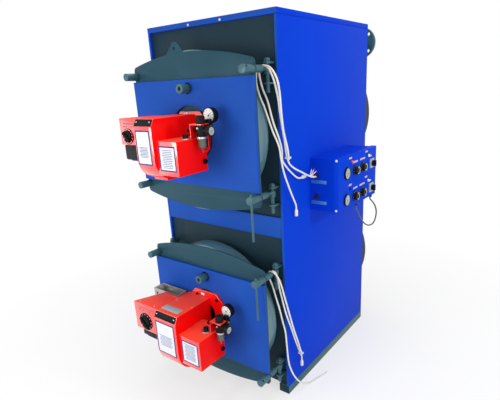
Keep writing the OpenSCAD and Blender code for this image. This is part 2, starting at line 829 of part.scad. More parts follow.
module door_plate(z) {
    edge = door_h / 2 - arch_rise + 8;
    translate([0, 0, z]) difference() {
        intersection() {
            union() {
                span([-door_w / 2, dplate_front, door_corner - edge], [door_w / 2, dplate_back, edge - door_corner]);
                span([door_corner - door_w / 2, dplate_front, -door_h / 2], [door_w / 2 - door_corner, dplate_back, door_h / 2]);
                for (i = [-1, 1], k = [-1, 1])
                    translate([i * (door_w / 2 - door_corner), 0, k * (edge - door_corner)])
                        ycyl(door_corner, dplate_front, dplate_back);
            }
            translate([0, 0, door_h / 2 - arch_r]) ycyl(arch_r, dplate_front - 1, dplate_back + 1, $fn = 256);
            translate([0, 0, arch_r - door_h / 2]) ycyl(arch_r, dplate_front - 1, dplate_back + 1, $fn = 256);
        }
        ycyl(blast_r + blast_fit, dplate_front - 1, dplate_back + 1);
        translate([0, 0, sight_up]) ycyl(sight_bore_r, dplate_front - 1, dplate_back + 1);
        each_clamp(-1) ycyl(shank_r + 0.5, dplate_front - 1, dplate_back + 1);
        each_clamp(1) ycyl(clamp_bore_r, dplate_front - 1, dplate_back + 1);
    }
}

module upper_door_plate() {
    color(C_TEAL) place() {
        door_plate(upper_z);
        translate([0, 0, upper_z]) lifting_ear();
    }
}

module lower_door_plate() {
    color(C_TEAL) place() door_plate(lower_z);
}

module door_drum(z) {
    depth = ddrum_back - dplate_back;
    rim = [for (a = [0 : 15 : 90]) [ddrum_r - rim_r + rim_r * cos(a), depth - rim_r + rim_r * sin(a)]];
    color(C_TEAL) place() translate([0, 0, z]) difference() {
        translate([0, dplate_back, 0]) rotate([-90, 0, 0]) rotate_extrude($fn = 128)
            polygon(concat([[0, 0], [ddrum_r, 0]], rim, [[0, depth]]));
        ycyl(blast_r + blast_fit, dplate_back - 1, ddrum_back + 1);
        translate([0, 0, sight_up]) ycyl(sight_bore_r, dplate_back - 1, ddrum_back + 1);
    }
}

module upper_door_drum() {
    door_drum(upper_z);
}

module lower_door_drum() {
    door_drum(lower_z);
}

module door_panel(z) {
    color(C_BLUE) place() translate([0, 0, z]) difference() {
        span([-door_w / 2, panel_front, -panel_h / 2], [door_w / 2, dplate_front, panel_h / 2]);
        ycyl(panel_hole_r, panel_front - 1, dplate_front + 1);
        translate([0, 0, sight_up]) ycyl(sight_collar_r + 4, panel_front - 1, dplate_front + 1);
    }
}

module upper_door_panel() {
    door_panel(upper_z);
}

module lower_door_panel() {
    door_panel(lower_z);
}

module sight_tube(z) {
    front = dplate_front - sight_len;
    color(C_TEAL) place() translate([0, 0, z + sight_up]) difference() {
        union() {
            ycyl(sight_r, front, dplate_front);
            ycyl(sight_collar_r, front, front + sight_collar_l);
        }
        ycyl(sight_bore_r, front - 1, dplate_front + 1);
    }
}

module upper_sight_tube() {
    sight_tube(upper_z);
}

module lower_sight_tube() {
    sight_tube(lower_z);
}

// Burners
module on_drum(b) {
    translate([0, 0, drum_z[b]]) children();
}

module burner_flange(b) {
    h = flange_half[b];
    c = h - flange_cut[b];
    color(C_RED) place() on_drum(b) difference() {
        union() {
            translate([0, flange_rear[b], 0]) rotate([90, 0, 0]) linear_extrude(flange_rear[b] - fan_back[b])
                polygon([[-h, -c], [-c, -h], [c, -h], [h, -c], [h, c], [c, h], [-c, h], [-h, c]]);
            ycyl(blast_r, fan_back[b], blast_in);
        }
        ycyl(blast_r - blast_wall, fan_back[b] - 1, blast_in + 1);
    }
}

module upper_burner_flange() {
    burner_flange(UPPER);
}

module lower_burner_flange() {
    burner_flange(LOWER);
}

module fan_housing(b) {
    r = scroll_r[b];
    down = scroll_down[b];
    sc = fan_front + r;
    arc = [for (a = [180 : 9 : 360]) [sc + r * cos(a), r * sin(a) - down]];
    color(C_RED) place() on_drum(b) union() {
        translate([fan_left[b], 0, 0]) rotate([90, 0, 90]) linear_extrude(fan_w[b])
            polygon(concat([[fan_back[b], fan_top], [fan_front + facet_back, fan_top], [fan_front, fan_top - facet_drop]],
                           arc, [[fan_front + 2 * r, -duct_down], [fan_back[b], -duct_down]]));
        span([fan_left[b] + fan_w[b] / 4, sc - foot_d, -down - r - foot_drop], [fan_right[b], sc + foot_d, -down]);
    }
}

module upper_fan_housing() {
    fan_housing(UPPER);
}

module lower_fan_housing() {
    fan_housing(LOWER);
}

module burner_box(b) {
    color(C_RED) place() on_drum(b) translate([0, 0, fan_top - bbox_h[b]]) linear_extrude(bbox_h[b])
        polygon([[bbox_left[b], bbox_front], [fan_left[b], bbox_front], [fan_left[b], bbox_back],
                 [bbox_left[b] + bbox_in[b], bbox_back]]);
}

module upper_burner_box() {
    burner_box(UPPER);
}

module lower_burner_box() {
    burner_box(LOWER);
}

module burner_knob(b) {
    ycyl(dial_r[b], -dial_t, 0);
    ycyl(bknob_r[b], -dial_t - bknob_base, -dial_t);
    rotate([0, 45, 0]) intersection() {
        span([-bknob_r[b], -bknob_h, -grip_w / 2], [bknob_r[b], -dial_t - 1, grip_w / 2]);
        ycyl(bknob_r[b], -bknob_h - 1, 0);
    }
}

module display_cover(b) {
    translate([fan_left[b] + display_edge, fan_front, fan_top - facet_drop]) rotate([facet_a, 0, 0])
        translate([0, display_edge, 0])
            cube([fan_w[b] - 2 * display_edge, facet_l - 2 * display_edge, display_t]);
}

module return_elbow() {
    xcyl(elbow_r, 0, 2 * elbow_r);
    translate([2 * elbow_r, 0, -elbow_l]) cylinder(r = elbow_r - 1, h = elbow_l);
    translate([2 * elbow_r, 0, 0]) sphere(r = elbow_r);
}

module burner_fittings(b) {
    color(C_BLACK) place() on_drum(b) {
        translate([fan_left[b] - bbox_w[b] / 2 - bknob_side, bbox_front, fan_top - bknob_down[b]]) burner_knob(b);
        display_cover(b);
        translate([tank_right[b] - cap_in, tank_front + cap_back, tank_top]) {
            cylinder(r = washer_r, h = 2);
            cylinder(r = cap_r, h = cap_h);
        }
        translate([0, tank_front + tank_l - 17, tank_top - tank_h[b] + plug_up])
            xcyl(plug_r, tank_right[b], tank_right[b] + 8);
        translate([tank_right[b], tank_front + tank_l - 10, tank_top - 12]) return_elbow();
    }
}

module upper_burner_fittings() {
    burner_fittings(UPPER);
}

module lower_burner_fittings() {
    burner_fittings(LOWER);
}

module motor_frame(half, len) {
    intersection() {
        span([-half, -half, 0], [half, half, len]);
        cylinder(r = half + motor_round, h = len);
    }
}

module motor(b) {
    color(C_BLACK) place() on_drum(b) translate([fan_left[b], fan_front + scroll_r[b], -motor_down[b]])
        rotate([0, -90, 0]) {
            motor_frame(motor_half[b], motor_len[b] - motor_cap);
            motor_frame(motor_half[b] - motor_step, motor_len[b]);
        }
}

module upper_motor() {
    motor(UPPER);
}

module lower_motor() {
    motor(LOWER);
}

module oil_tank(b) {
    leg_x = tank_right[b] - 16;
    side = reg_x[b] + bracket_w / 2;
    color(C_RED) place() on_drum(b) union() {
        span([fan_right[b], tank_front, tank_top - tank_h[b]], [tank_right[b], tank_front + tank_l, tank_top]);
        difference() {
            span([leg_x, reg_y - bracket_w / 2, tank_top], [leg_x + bracket_t, reg_y + bracket_w / 2, bracket_z + bracket_t]);
            translate([0, reg_y, port_z]) xcyl(stem_r + hose_fit, leg_x - 1, leg_x + bracket_t + 1);
        }
        difference() {
            span([leg_x, reg_y - bracket_w / 2, bracket_z], [side, reg_y + bracket_w / 2, bracket_z + bracket_t]);
            translate([reg_x[b], reg_y, bracket_z - 1]) cylinder(r = neck_thread_r + 0.5, h = bracket_t + 2);
        }
    }
}

module upper_oil_tank() {
    oil_tank(UPPER);
}

module lower_oil_tank() {
    oil_tank(LOWER);
}

module dial_case(r, t) {
    difference() {
        translate([0, -t / 2, 0]) rotate([-90, 0, 0]) cylinder(r = r, h = t);
        ycyl(r - bezel_w, -t / 2 - 1, dial_in - t / 2);
    }
}

module regulator(b) {
    color(C_BLACK) place() on_drum(b) translate([reg_x[b], reg_y, 0]) union() {
        translate([0, 0, bracket_z - reg_h]) cylinder(r = reg_r, h = reg_h);
        translate([0, 0, bracket_z - 1]) cylinder(r = neck_thread_r, h = bracket_t + 2);
        translate([0, 0, bracket_z + bracket_t]) rotate_extrude()
            polygon([[0, 0], [rknob_r - 2, 0], [rknob_r, 3], [rknob_r, rknob_h - 5], [rknob_r - 3, rknob_h], [0, rknob_h]]);
        translate([0, 0, port_z]) {
            xcyl(port_r, -reg_r - port_out, reg_r + port_out);
            ycyl(port_r, 0, reg_r + port_out);
            xcyl(stem_r, 0, reg_r + stem_l + 1);
            translate([reg_r + stem_l + small_gauge_t / 2, 0, 0]) rotate([0, 0, 90])
                dial_case(small_gauge_r, small_gauge_t);
            ycyl(stem_r, 0, gauge_back + stem_r);
            xcyl(stem_r, -reg_r - hose_l, 0);
            translate([-6, reg_r + port_out + 2, -4]) cube([valve_w - 4, valve_w - 10, valve_w + 18]);
        }
        translate([0, gauge_back, port_z]) cylinder(r = stem_r, h = gauge_up - port_z);
        translate([0, gauge_back, gauge_up]) dial_case(gauge_r, gauge_t);
    }
}

module upper_regulator() {
    regulator(UPPER);
}

module lower_regulator() {
    regulator(LOWER);
}

module filter_bowl(b) {
    low = bracket_z - reg_h;
    round_r = 9;
    bend = [for (a = [0 : 18 : 90]) [bowl_r - round_r + round_r * cos(a), round_r - bowl_l - round_r * sin(a)]];
    color(C_GREY) place() on_drum(b) translate([reg_x[b], reg_y, low]) rotate_extrude()
        polygon(concat([[0, 0], [bowl_r + 2, 0], [bowl_r + 2, -6], [bowl_r, -6]], bend,
                       [[4, -bowl_l], [4, -bowl_l - drain_l], [0, -bowl_l - drain_l]]));
}

module upper_filter_bowl() {
    filter_bowl(UPPER);
}

module lower_filter_bowl() {
    filter_bowl(LOWER);
}

module lower_tray() {
    x0 = bbox_left[LOWER] - tray_over;
    x1 = fan_left[LOWER];
    z1 = lower_z + fan_top + tray_up;
    color(C_STEEL) place() difference() {
        span([x0, bbox_back, z1 - tray_h], [x1, bbox_back + tray_d, z1]);
        span([x0 + tray_t, bbox_back + tray_t, z1 - tray_h + tray_t],
             [x1 - tray_t, bbox_back + tray_d - tray_t, z1 + 1]);
        translate([x0 + 3 * tray_hole_r, 0, z1 - tray_h / 2]) ycyl(tray_hole_r, bbox_back - 1, bbox_back + tray_t + 1);
    }
}

// Control box on the right side
module on_box(y, z) {
    translate([box_out, box_y + y, box_z + z]) children();
}

module control_box() {
    color(C_BLUE) place() difference() {
        union() {
            span([half_w, box_y + lid_t, box_z + lid_t], [box_out - 1, box_y + box_l - lid_t, box_z + box_h - lid_t]);
            span([box_out - lid_rim, box_y, box_z], [box_out, box_y + box_l, box_z + box_h]);
        }
        on_box(lamp_y - 12, row_lo + lamp_up) xcyl(lamp_r, -12, 1);
    }
}

module thermometers() {
    color(C_BLACK) place() for (z = [row_lo, row_hi]) on_box(thermo_y, z) difference() {
        xcyl(thermo_r, 0, thermo_h);
        xcyl(thermo_r - bezel_w, thermo_h - dial_in, thermo_h + 1);
    }
}

module thermostat_knobs() {
    color(C_BLACK) place() for (z = [row_lo, row_hi], i = [0, 1]) on_box(knob_y + i * knob_pitch, z) {
        xcyl(knob_r, 0, skirt_h);
        xcyl(knob_r - skirt_step, 0, knob_h);
    }
}

module selector_switches() {
    color(C_GREY) place() for (z = [row_lo, row_hi]) on_box(switch_y, z) {
        span([0, -switch_w / 2, -switch_w / 2], [switch_t, switch_w / 2, switch_w / 2]);
        xcyl(switch_r, 0, switch_t + switch_base);
        span([0, -handle_w / 2, -switch_r], [switch_t + switch_h, handle_w / 2, switch_r]);
    }
}

module lamp() {
    xcyl(lamp_r, 0, lamp_rim);
    xcyl(lamp_r - 2, 0, lamp_h);
}

module indicator_lamps() {
    color(C_WHITE) place() {
        on_box(lamp_y, row_hi + lamp_up) lamp();
        for (z = [row_lo, row_hi]) on_box(lamp_y2, z + lamp_up) lamp();
    }
}

module cable_grommets() {
    color(C_RED) place() for (z = [grommet_low, grommet_at[1]])
        translate([grommet_at[0], 0, z]) ycyl(grommet_r, box_y - grommet_l, box_y + lid_t);
}

module cable_glands() {
    color(C_BLACK) place() for (y = gland_y)
        translate([gland_x, y, box_z - gland_l]) cylinder(r = gland_r, h = gland_l);
}

// Cables
module upper_cable_a() {
    color(C_WHITE) place() tube(upper_a_route, cable_r, cable_sides);
}

module upper_cable_b() {
    color(C_WHITE) place() tube(upper_b_route, cable_r, cable_sides);
}

module lower_cable_a() {
    color(C_WHITE) place() tube(lower_a_route, cable_r, cable_sides);
}

module lower_cable_b() {
    color(C_WHITE) place() tube(lower_b_route, cable_r, cable_sides);
}

module loop_cable() {
    color(C_GREY) place() tube(loop_route, cable_r, cable_sides);
}

module tie(p, w, d) {
    wall = 1.4;
    h = 8;
    translate(p) difference() {
        cube([w + 2 * wall, d + 2 * wall, h], center = true);
        cube([w, d, h + 2], center = true);
    }
}

module cable_ties() {
    color(C_WHITE) place() {
        tie([405, 14.6, 1214], 20, 14.4);
        tie([408, 76.5, 212], 20, 14.2);
    }
}

module cable_plugs() {
    color(C_WHITE) place() {
        translate(end_of(upper_a_route)) ycyl(cplug_r, end_gap, end_gap + plug_len);
        for (p = [end_of(upper_b_route), end_of(lower_a_route)])
            translate(p - [0, 0, end_gap + plug_len]) cylinder(r = cplug_r, h = plug_len);
    }
}

skids();
left_panel();
right_panel();
rear_panel();
top_cover();
front_plate();
middle_band();
upper_drum();
lower_drum();
rear_ends();
water_flange();
hinge_lugs();
hinge_pins();
clamp_eyebolts();
control_box();
thermometers();
thermostat_knobs();
selector_switches();
indicator_lamps();
cable_grommets();
cable_glands();
upper_cable_a();
upper_cable_b();
lower_cable_a();
lower_cable_b();
loop_cable();
cable_ties();
cable_plugs();
upper_door_plate();
upper_door_drum();
upper_door_panel();
upper_sight_tube();
upper_clamps();
upper_burner_flange();
upper_fan_housing();
upper_burner_box();
upper_burner_fittings();
upper_motor();
upper_oil_tank();
upper_regulator();
upper_filter_bowl();
lower_door_plate();
lower_door_drum();
lower_door_panel();
lower_sight_tube();
lower_clamps();
lower_burner_flange();
lower_fan_housing();
lower_burner_box();
lower_burner_fittings();
lower_motor();
lower_oil_tank();
lower_regulator();
lower_filter_bowl();
lower_tray();
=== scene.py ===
# %% [markdown]
# # A two-door hot-water boiler
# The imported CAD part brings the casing, the doors and the burners in their real places and sizes.
# This lesson dresses it: a camera where the photographer stood, the loose cables, paint and plastic
# with the grain of the real finish, and the small things a solid model leaves out.
# Everything is in metres in the part's own frame.

# %% The frame and its box
import json
import math

import bpy
from mathutils import Matrix, Vector

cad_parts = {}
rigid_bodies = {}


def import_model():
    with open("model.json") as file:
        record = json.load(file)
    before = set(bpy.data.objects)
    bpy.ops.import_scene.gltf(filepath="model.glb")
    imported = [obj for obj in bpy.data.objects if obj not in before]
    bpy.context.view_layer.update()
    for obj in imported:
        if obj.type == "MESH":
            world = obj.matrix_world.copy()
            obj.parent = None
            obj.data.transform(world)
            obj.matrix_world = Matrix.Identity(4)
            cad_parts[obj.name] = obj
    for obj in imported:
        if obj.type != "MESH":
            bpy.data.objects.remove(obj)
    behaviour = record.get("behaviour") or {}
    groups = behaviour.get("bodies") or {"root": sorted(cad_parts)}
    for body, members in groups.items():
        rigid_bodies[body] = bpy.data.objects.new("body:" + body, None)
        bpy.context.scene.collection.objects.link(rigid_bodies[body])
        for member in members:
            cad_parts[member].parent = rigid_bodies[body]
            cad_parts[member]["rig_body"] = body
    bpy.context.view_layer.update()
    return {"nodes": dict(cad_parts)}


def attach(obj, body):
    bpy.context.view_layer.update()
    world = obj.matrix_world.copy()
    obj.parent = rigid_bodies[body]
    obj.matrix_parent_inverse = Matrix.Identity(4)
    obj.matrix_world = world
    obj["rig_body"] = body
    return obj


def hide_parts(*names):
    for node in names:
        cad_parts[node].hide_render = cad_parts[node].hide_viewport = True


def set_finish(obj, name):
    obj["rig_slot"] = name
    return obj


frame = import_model()
nodes = frame["nodes"]

# %% [markdown]
# Sizes are easiest to read in millimetres, measured from the middle of the casing's front edge at floor
# level, as a fitter would tape them. One function turns such a point into the part's frame. The two doors
# hang at the heights of their drums.

# %% From the fitter's millimetres to the frame
ORIGIN_MM = Vector((-89.5, -312.5, 0.0))
UPPER_AXIS = 1319.0
LOWER_AXIS = 432.0


def spot(x, y, z):
    """A point in metres from millimetres off the casing's front middle."""
    return (Vector((x, y, z)) + ORIGIN_MM) / 1000


print("casing front middle:", tuple(spot(0, 0, 0)))

# %% [markdown]
# ## Camera
# The photograph was taken from the right, above the middle of the boiler, with a wide lens and a slight
# tilt. The lens, place and angles were worked out beforehand from the casing's corners. Its frame isn't
# centred on the lens axis, so the camera is shifted a little.

# %% Camera
FRAME_W, FRAME_H = 500.0, 400.0
FOCAL_PX = 425.16
LENS_CENTRE = (263.21, 217.91)
SENSOR_MM = 36
CAMERA_MM = (1386.9, -1494.67, 1518.46)
azimuth, elevation, roll = (math.radians(a) for a in (36.79, 17.51, -2.8))

forward = Vector((-math.sin(azimuth) * math.cos(elevation),
                  math.cos(azimuth) * math.cos(elevation),
                  -math.sin(elevation)))
level_right = Vector((math.cos(azimuth), math.sin(azimuth), 0))
level_up = level_right.cross(forward)
right = math.cos(roll) * level_right + math.sin(roll) * level_up
up = -math.sin(roll) * level_right + math.cos(roll) * level_up

lens = bpy.data.cameras.new("photo_camera")
lens.sensor_width = SENSOR_MM
lens.lens = FOCAL_PX / FRAME_W * lens.sensor_width
lens.shift_x = (FRAME_W / 2 - LENS_CENTRE[0]) / FRAME_W
lens.shift_y = (LENS_CENTRE[1] - FRAME_H / 2) / FRAME_W
lens.clip_start = 0.05
camera = bpy.data.objects.new("photo_camera", lens)
bpy.context.scene.collection.objects.link(camera)
turn = Matrix((right, up, -forward)).transposed().to_4x4()
camera.matrix_world = Matrix.Translation(spot(*CAMERA_MM)) @ turn
bpy.context.scene.camera = camera
print("lens mm:", round(lens.lens, 2), "shift:", round(lens.shift_x, 4), round(lens.shift_y, 4))

# %% [markdown]
# ## Materials
# Each finish is one Principled shader with the grain of the real surface. One small function adds a node,
# sets its numbers and joins its links, so a material reads as a list. Colours are written as on a paint
# card, in sRGB hex, and turned to linear light.

# %% Colour and node helpers


def linear(code):
    """sRGB hex to the linear RGBA that shaders use."""
    parts = [int(code[i:i + 2], 16) / 255 for i in (1, 3, 5)]
    return [v / 12.92 if v <= 0.04045 else ((v + 0.055) / 1.055) ** 2.4 for v in parts] + [1.0]


def add(tree, kind, inputs=None, **settings):
    """Adds one node; an input is a plain value or another node's output socket."""
    made = tree.nodes.new(kind)
    for key, value in settings.items():
        setattr(made, key, value)
    for key, value in (inputs or {}).items():
        if isinstance(value, bpy.types.NodeSocket):
            tree.links.new(value, made.inputs[key])
        else:
            made.inputs[key].default_value = value
    return made


def finish_of(name):
    """An empty material with its shader and output, ready for its grain."""
    made = bpy.data.materials.new(name)
    made.use_nodes = True
    tree = made.node_tree
    tree.nodes.clear()
    shader = tree.nodes.new("ShaderNodeBsdfPrincipled")
    end = tree.nodes.new("ShaderNodeOutputMaterial")
    tree.links.new(shader.outputs["BSDF"], end.inputs["Surface"])
    return made, tree, shader


print("white in linear light:", linear("#FFFFFF"))

# %% [markdown]
# The sheet casing is powder-coated steel: the baked powder flows into a fine orange peel, with soft
# patches where it lies thicker. The peel is about 3 mm across on the real sheet and is drawn at 9 mm,
# the finest that shows at this distance. Enamel brushed on the doors and hardware shows longer streaks.

# %% Paints
PATCH_M = 0.22
GRAIN_LIFT_M = 0.002


def paint(name, colour, shade, rough, grain_mm, bump, stretch=(1, 1, 1), coat=0.0, metallic=0.0, shine=0.5):
    """Paint in two near colours over broad patches, with a grain that lifts the surface."""
    made, tree, shader = finish_of(name)
    where = add(tree, "ShaderNodeTexCoord").outputs["Object"]
    laid = add(tree, "ShaderNodeMapping", {"Vector": where, "Scale": stretch}).outputs["Vector"]
    patch = add(tree, "ShaderNodeTexNoise", {"Vector": where, "Scale": 1 / PATCH_M, "Detail": 3.0})
    tint = add(tree, "ShaderNodeMix", {"Factor": patch.outputs["Fac"], "A": linear(colour), "B": linear(shade)},
               data_type="RGBA")
    grain = add(tree, "ShaderNodeTexNoise", {"Vector": laid, "Scale": 1000 / grain_mm, "Detail": 2.0})
    height = grain.outputs["Fac"]
    gloss = add(tree, "ShaderNodeMapRange", {"Value": height, "To Min": rough * 0.85, "To Max": rough * 1.15})
    lift = add(tree, "ShaderNodeBump", {"Height": height, "Strength": bump, "Distance": GRAIN_LIFT_M})
    tree.links.new(tint.outputs["Result"], shader.inputs["Base Color"])
    tree.links.new(gloss.outputs["Result"], shader.inputs["Roughness"])
    tree.links.new(lift.outputs["Normal"], shader.inputs["Normal"])
    shader.inputs["Metallic"].default_value = metallic
    shader.inputs["Specular IOR Level"].default_value = shine
    shader.inputs["Coat Weight"].default_value = coat
    shader.inputs["Coat Roughness"].default_value = 0.12
    return made


finishes = {
    "casing_blue": paint("powder_coat_casing_blue", "#0640D2", "#083CCA", 0.5, 9, 0.10, shine=0.03),
    # A greyer blue for the faces that look forward: the door panels, the middle band and, as painted shade, the
    # casing's front edges.
    "front_face_blue": paint("powder_coat_blue_front_faces", "#2254B6", "#1A489F", 0.5, 9, 0.10, shine=0.06),
    "teal": paint("brushed_enamel_teal", "#274D5B", "#224553", 0.4, 14, 0.14, (1, 1, 0.25), shine=0.12),
    "hardware": paint("brushed_enamel_hardware", "#3C6670", "#325762", 0.36, 10, 0.16, (1, 1, 0.4), 0.1, shine=0.3),
    # The door drums' teal is lighter than the plates' teal: a painted sheen, under a real glossy coat.
    "drum": paint("gloss_enamel_drum_painted_sheen", "#557B84", "#4A6F79", 0.35, 40, 0.02, coat=0.5),
    # The front plate is the same teal enamel as the doors; its darker colour is painted shade from the overhang
    # above.
    "front_plate": paint("enamel_front_plate_painted_shade", "#1F3844", "#1A303B", 0.5, 16, 0.14, (1, 1, 0.25), shine=0.12),
    "skid": paint("enamel_skid", "#4A6E7A", "#41636E", 0.45, 12, 0.14, (1, 0.3, 1), shine=0.2),
    "red": paint("enamel_burner_red", "#F80503", "#EE0503", 0.4, 8, 0.05, shine=0.1),
    "red_front": paint("enamel_burner_red_polished", "#F80503", "#EE0503", 0.3, 8, 0.05, coat=1.0),
    # The paler orange red for the burner tops is painted light on the same enamel.
    "red_top_painted_light": paint("enamel_burner_red_painted_top_light", "#FF4C38", "#FA4632", 0.45, 8, 0.05, shine=0.15),
    "furnace": paint("scaled_furnace_steel", "#4A4A4C", "#3A3836", 0.7, 6, 0.35, metallic=0.6),
    "zinc": paint("zinc_plated_steel", "#C9CCCE", "#B4B8BA", 0.35, 5, 0.08, metallic=1.0),
    "brass": paint("turned_brass", "#B8923E", "#A8842F", 0.3, 5, 0.06, metallic=1.0),
}
finishes["red_front"].node_tree.nodes["Principled BSDF"].inputs["Coat IOR"].default_value = 2.0
finishes["drum"].node_tree.nodes["Principled BSDF"].inputs["Coat Roughness"].default_value = 0.04
print("paints:", sorted(finishes))

# %% [markdown]
# Moulded parts are ABS and nylon with a fine spark-eroded grain; the cables are smooth PVC. The filter
# bowl is clear polycarbonate, which is made by letting light through the shader. The tray is stainless
# sheet, brushed along its length, so its grain is stretched along X.

# %% Plastics, clear bowl and stainless sheet
finishes["black"] = paint("moulded_abs_black", "#0C0D0E", "#131415", 0.42, 3, 0.18, shine=0.12)
finishes["motor"] = paint("cast_motor_black", "#111417", "#181B1F", 0.45, 6, 0.2, shine=0.12)
finishes["grey"] = paint("moulded_abs_grey", "#A9B2B4", "#9AA4A8", 0.4, 3, 0.15)
finishes["white"] = paint("moulded_nylon_white", "#E6E6E2", "#DADAD4", 0.45, 3, 0.12)
finishes["grommet"] = paint("rubber_grommet_red_brown", "#3A1614", "#2E1010", 0.6, 3, 0.2, shine=0.2)
finishes["cable_white"] = paint("pvc_cable_white", "#ECEAE4", "#E0DED8", 0.4, 6, 0.06)
finishes["cable_grey"] = paint("pvc_cable_grey", "#4E5A60", "#444F55", 0.45, 6, 0.08)
finishes["dial"] = paint("enamelled_dial_white", "#EEF0EE", "#E4E8E6", 0.35, 12, 0.02, coat=0.6)
finishes["dial_grey"] = paint("printed_dial_grey", "#AEB6B4", "#A0A9A8", 0.4, 12, 0.02)
finishes["ink"] = paint("printed_ink_black", "#15161A", "#1C1D22", 0.5, 12, 0.02)
finishes["label"] = paint("vinyl_label_white", "#DFE2EC", "#D6DAE6", 0.4, 12, 0.02, shine=0.15)
finishes["label_edge"] = paint("vinyl_label_blue_edge", "#30347C", "#292D6C", 0.4, 12, 0.02, shine=0.15)
finishes["label_grey"] = paint("vinyl_label_grey", "#6E7188", "#64677E", 0.4, 12, 0.02, shine=0.15)
finishes["label_blue"] = paint("vinyl_label_pale_blue", "#3B7CC9", "#2F6DBC", 0.35, 12, 0.02)
finishes["strip"] = paint("vinyl_strip_pale_pink", "#CDB9D6", "#BFACCC", 0.4, 12, 0.02)
finishes["lens_red"] = paint("lamp_lens_red", "#F0360C", "#E02C08", 0.2, 12, 0.02, coat=0.6)
finishes["lens_white"] = paint("lamp_lens_white", "#F0F3F0", "#E4EAE6", 0.2, 12, 0.02, coat=0.6)
finishes["stainless"] = paint("brushed_stainless", "#B9B8B4", "#ADABA7", 0.3, 4, 0.06, (0.04, 1, 1), metallic=1.0)

HAZE_M = 0.012
bowl, bowl_tree, bowl_shader = finish_of("polycarbonate_bowl")
bowl_place = add(bowl_tree, "ShaderNodeTexCoord")
bowl_haze = add(bowl_tree, "ShaderNodeTexNoise", {"Vector": bowl_place.outputs["Object"], "Scale": 1 / HAZE_M})
bowl_gloss = add(bowl_tree, "ShaderNodeMapRange",
                 {"Value": bowl_haze.outputs["Fac"], "To Min": 0.12, "To Max": 0.26})
bowl_tree.links.new(bowl_gloss.outputs["Result"], bowl_shader.inputs["Roughness"])
bowl_shader.inputs["Base Color"].default_value = linear("#6F6B63")
bowl_shader.inputs["Transmission Weight"].default_value = 0.4
bowl_shader.inputs["IOR"].default_value = 1.58
finishes["bowl"] = bowl
print("finishes:", len(finishes))

# %% [markdown]
# ## Cables
# White supply cables for the burners hang over the clamp shanks on the right of each door, tied together
# further down, and a grey one loops under the control box. Each is one curve through the same points as
# its CAD solid, so its length and lay are the real ones. A spline through those points gives the ones in
# between, so that the line bends softly, and the round section is the curve's bevel.

# %% Cable routes in the fitter's millimetres
CABLE_R = 4.0
routes = {
    "upper_cable_a": [
        (417, 227.7, 1092), (417, 214, 1092), (415.5, 190, 1098), (412, 150, 1116), (407, 106, 1138),
        (403, 64, 1160), (401, 32, 1184), (400, 14, 1216), (399, 0, 1290), (398, -22, 1390), (399, -36, 1460),
        (390, -46, 1525), (378, -48, 1556), (366, -48, 1575), (356, -48, 1583.3), (344, -48, 1586.4),
        (332, -48, 1583.3), (323, -48, 1574), (320, -48, 1556), (325, -48, 1528), (335, -48, 1495),
        (355, -47, 1450), (375, -42, 1366), (389, -28, 1306), (394, -14, 1250), (391, -8, 1206), (394, 20, 1170),
        (393, 66, 1134), (393, 104, 1109), (393, 126, 1102), (393, 139.7, 1102)],
    "upper_cable_b": [
        (410, 14, 1206), (409, 8, 1250), (406, -14, 1328), (407, -28, 1405), (412, -42, 1478),
        (409, -52, 1530), (398, -57, 1558), (384, -58, 1575), (366, -58, 1584), (356, -58, 1586),
        (344, -58, 1586.4), (332, -58, 1583.3), (320, -58, 1574), (313, -58, 1556), (311, -58, 1525),
        (326, -58, 1468), (340, -57, 1438), (353, -56, 1404), (375, -48, 1330), (393, -34, 1270),
        (397, -26, 1215), (401, -16, 1160), (404, 14, 1090), (402, 56, 1020), (400, 75, 992), (400, 78, 982),
        (400, 78, 970.3)],
    "lower_cable_a": [
        (344, -48, 699.4), (356, -48, 696.3), (364, -48, 686), (369, -47, 668), (375, -44, 620),
        (385, -38, 560), (394, -24, 480), (399, 4, 400), (402, 40, 300), (403, 76, 214), (403, 90, 184),
        (403, 92, 174), (403, 92, 160.3)],
    "lower_cable_b": [
        (413, 74, 214), (412, 52, 280), (409, 16, 380), (405, -10, 470), (398, -36, 570), (390, -50, 640),
        (380, -57, 676), (366, -58, 692), (356, -58, 697.8), (344, -58, 699.4), (332, -58, 696.3),
        (325, -58, 686), (326, -58, 672), (335, -57, 652), (347, -56, 622), (361, -54, 570), (374, -46, 505),
        (380, -37, 448), (390, -30, 386), (394, -26, 300), (398, -18, 200), (408, 14, 110), (416, 62, 46),
        (428, 116, 12), (444, 180, 6), (464, 252, 6)],
    "loop_cable": [
        (517, 462, 904.7), (517, 464, 892), (517, 472, 880), (517, 486, 864), (517, 502, 843), (517, 530, 814),
        (517, 566, 782), (517, 612, 754), (517, 660, 738), (517, 708, 737), (517, 738, 757), (517, 748, 792),
        (517, 732, 826), (517, 704, 854), (517, 668, 880), (517, 651, 892), (517, 648, 904.7)],
}


def mixed(start, end, share):
    """The point at a share of the way from start to end, or past them."""
    return start + (end - start) * share


def smooth_line(points, steps=4):
    """A smooth line through all points: the spline in which each stretch takes the root of its length."""
    ends = [2 * points[0] - points[1], *points, 2 * points[-1] - points[-2]]
    line = []
    for a, b, c, d in zip(ends, ends[1:], ends[2:], ends[3:]):
        t1 = math.sqrt((b - a).length)
        t2 = t1 + math.sqrt((c - b).length)
        t3 = t2 + math.sqrt((d - c).length)
        for step in range(steps):
            t = t1 + (t2 - t1) * step / steps
            ab = mixed(a, b, t / t1)
            bc = mixed(b, c, (t - t1) / (t2 - t1))
            cd = mixed(c, d, (t - t2) / (t3 - t2))
            early, late = mixed(ab, bc, t / t2), mixed(bc, cd, (t - t1) / (t3 - t1))
            line.append(mixed(early, late, (t - t1) / (t2 - t1)))
    return line + [points[-1]]


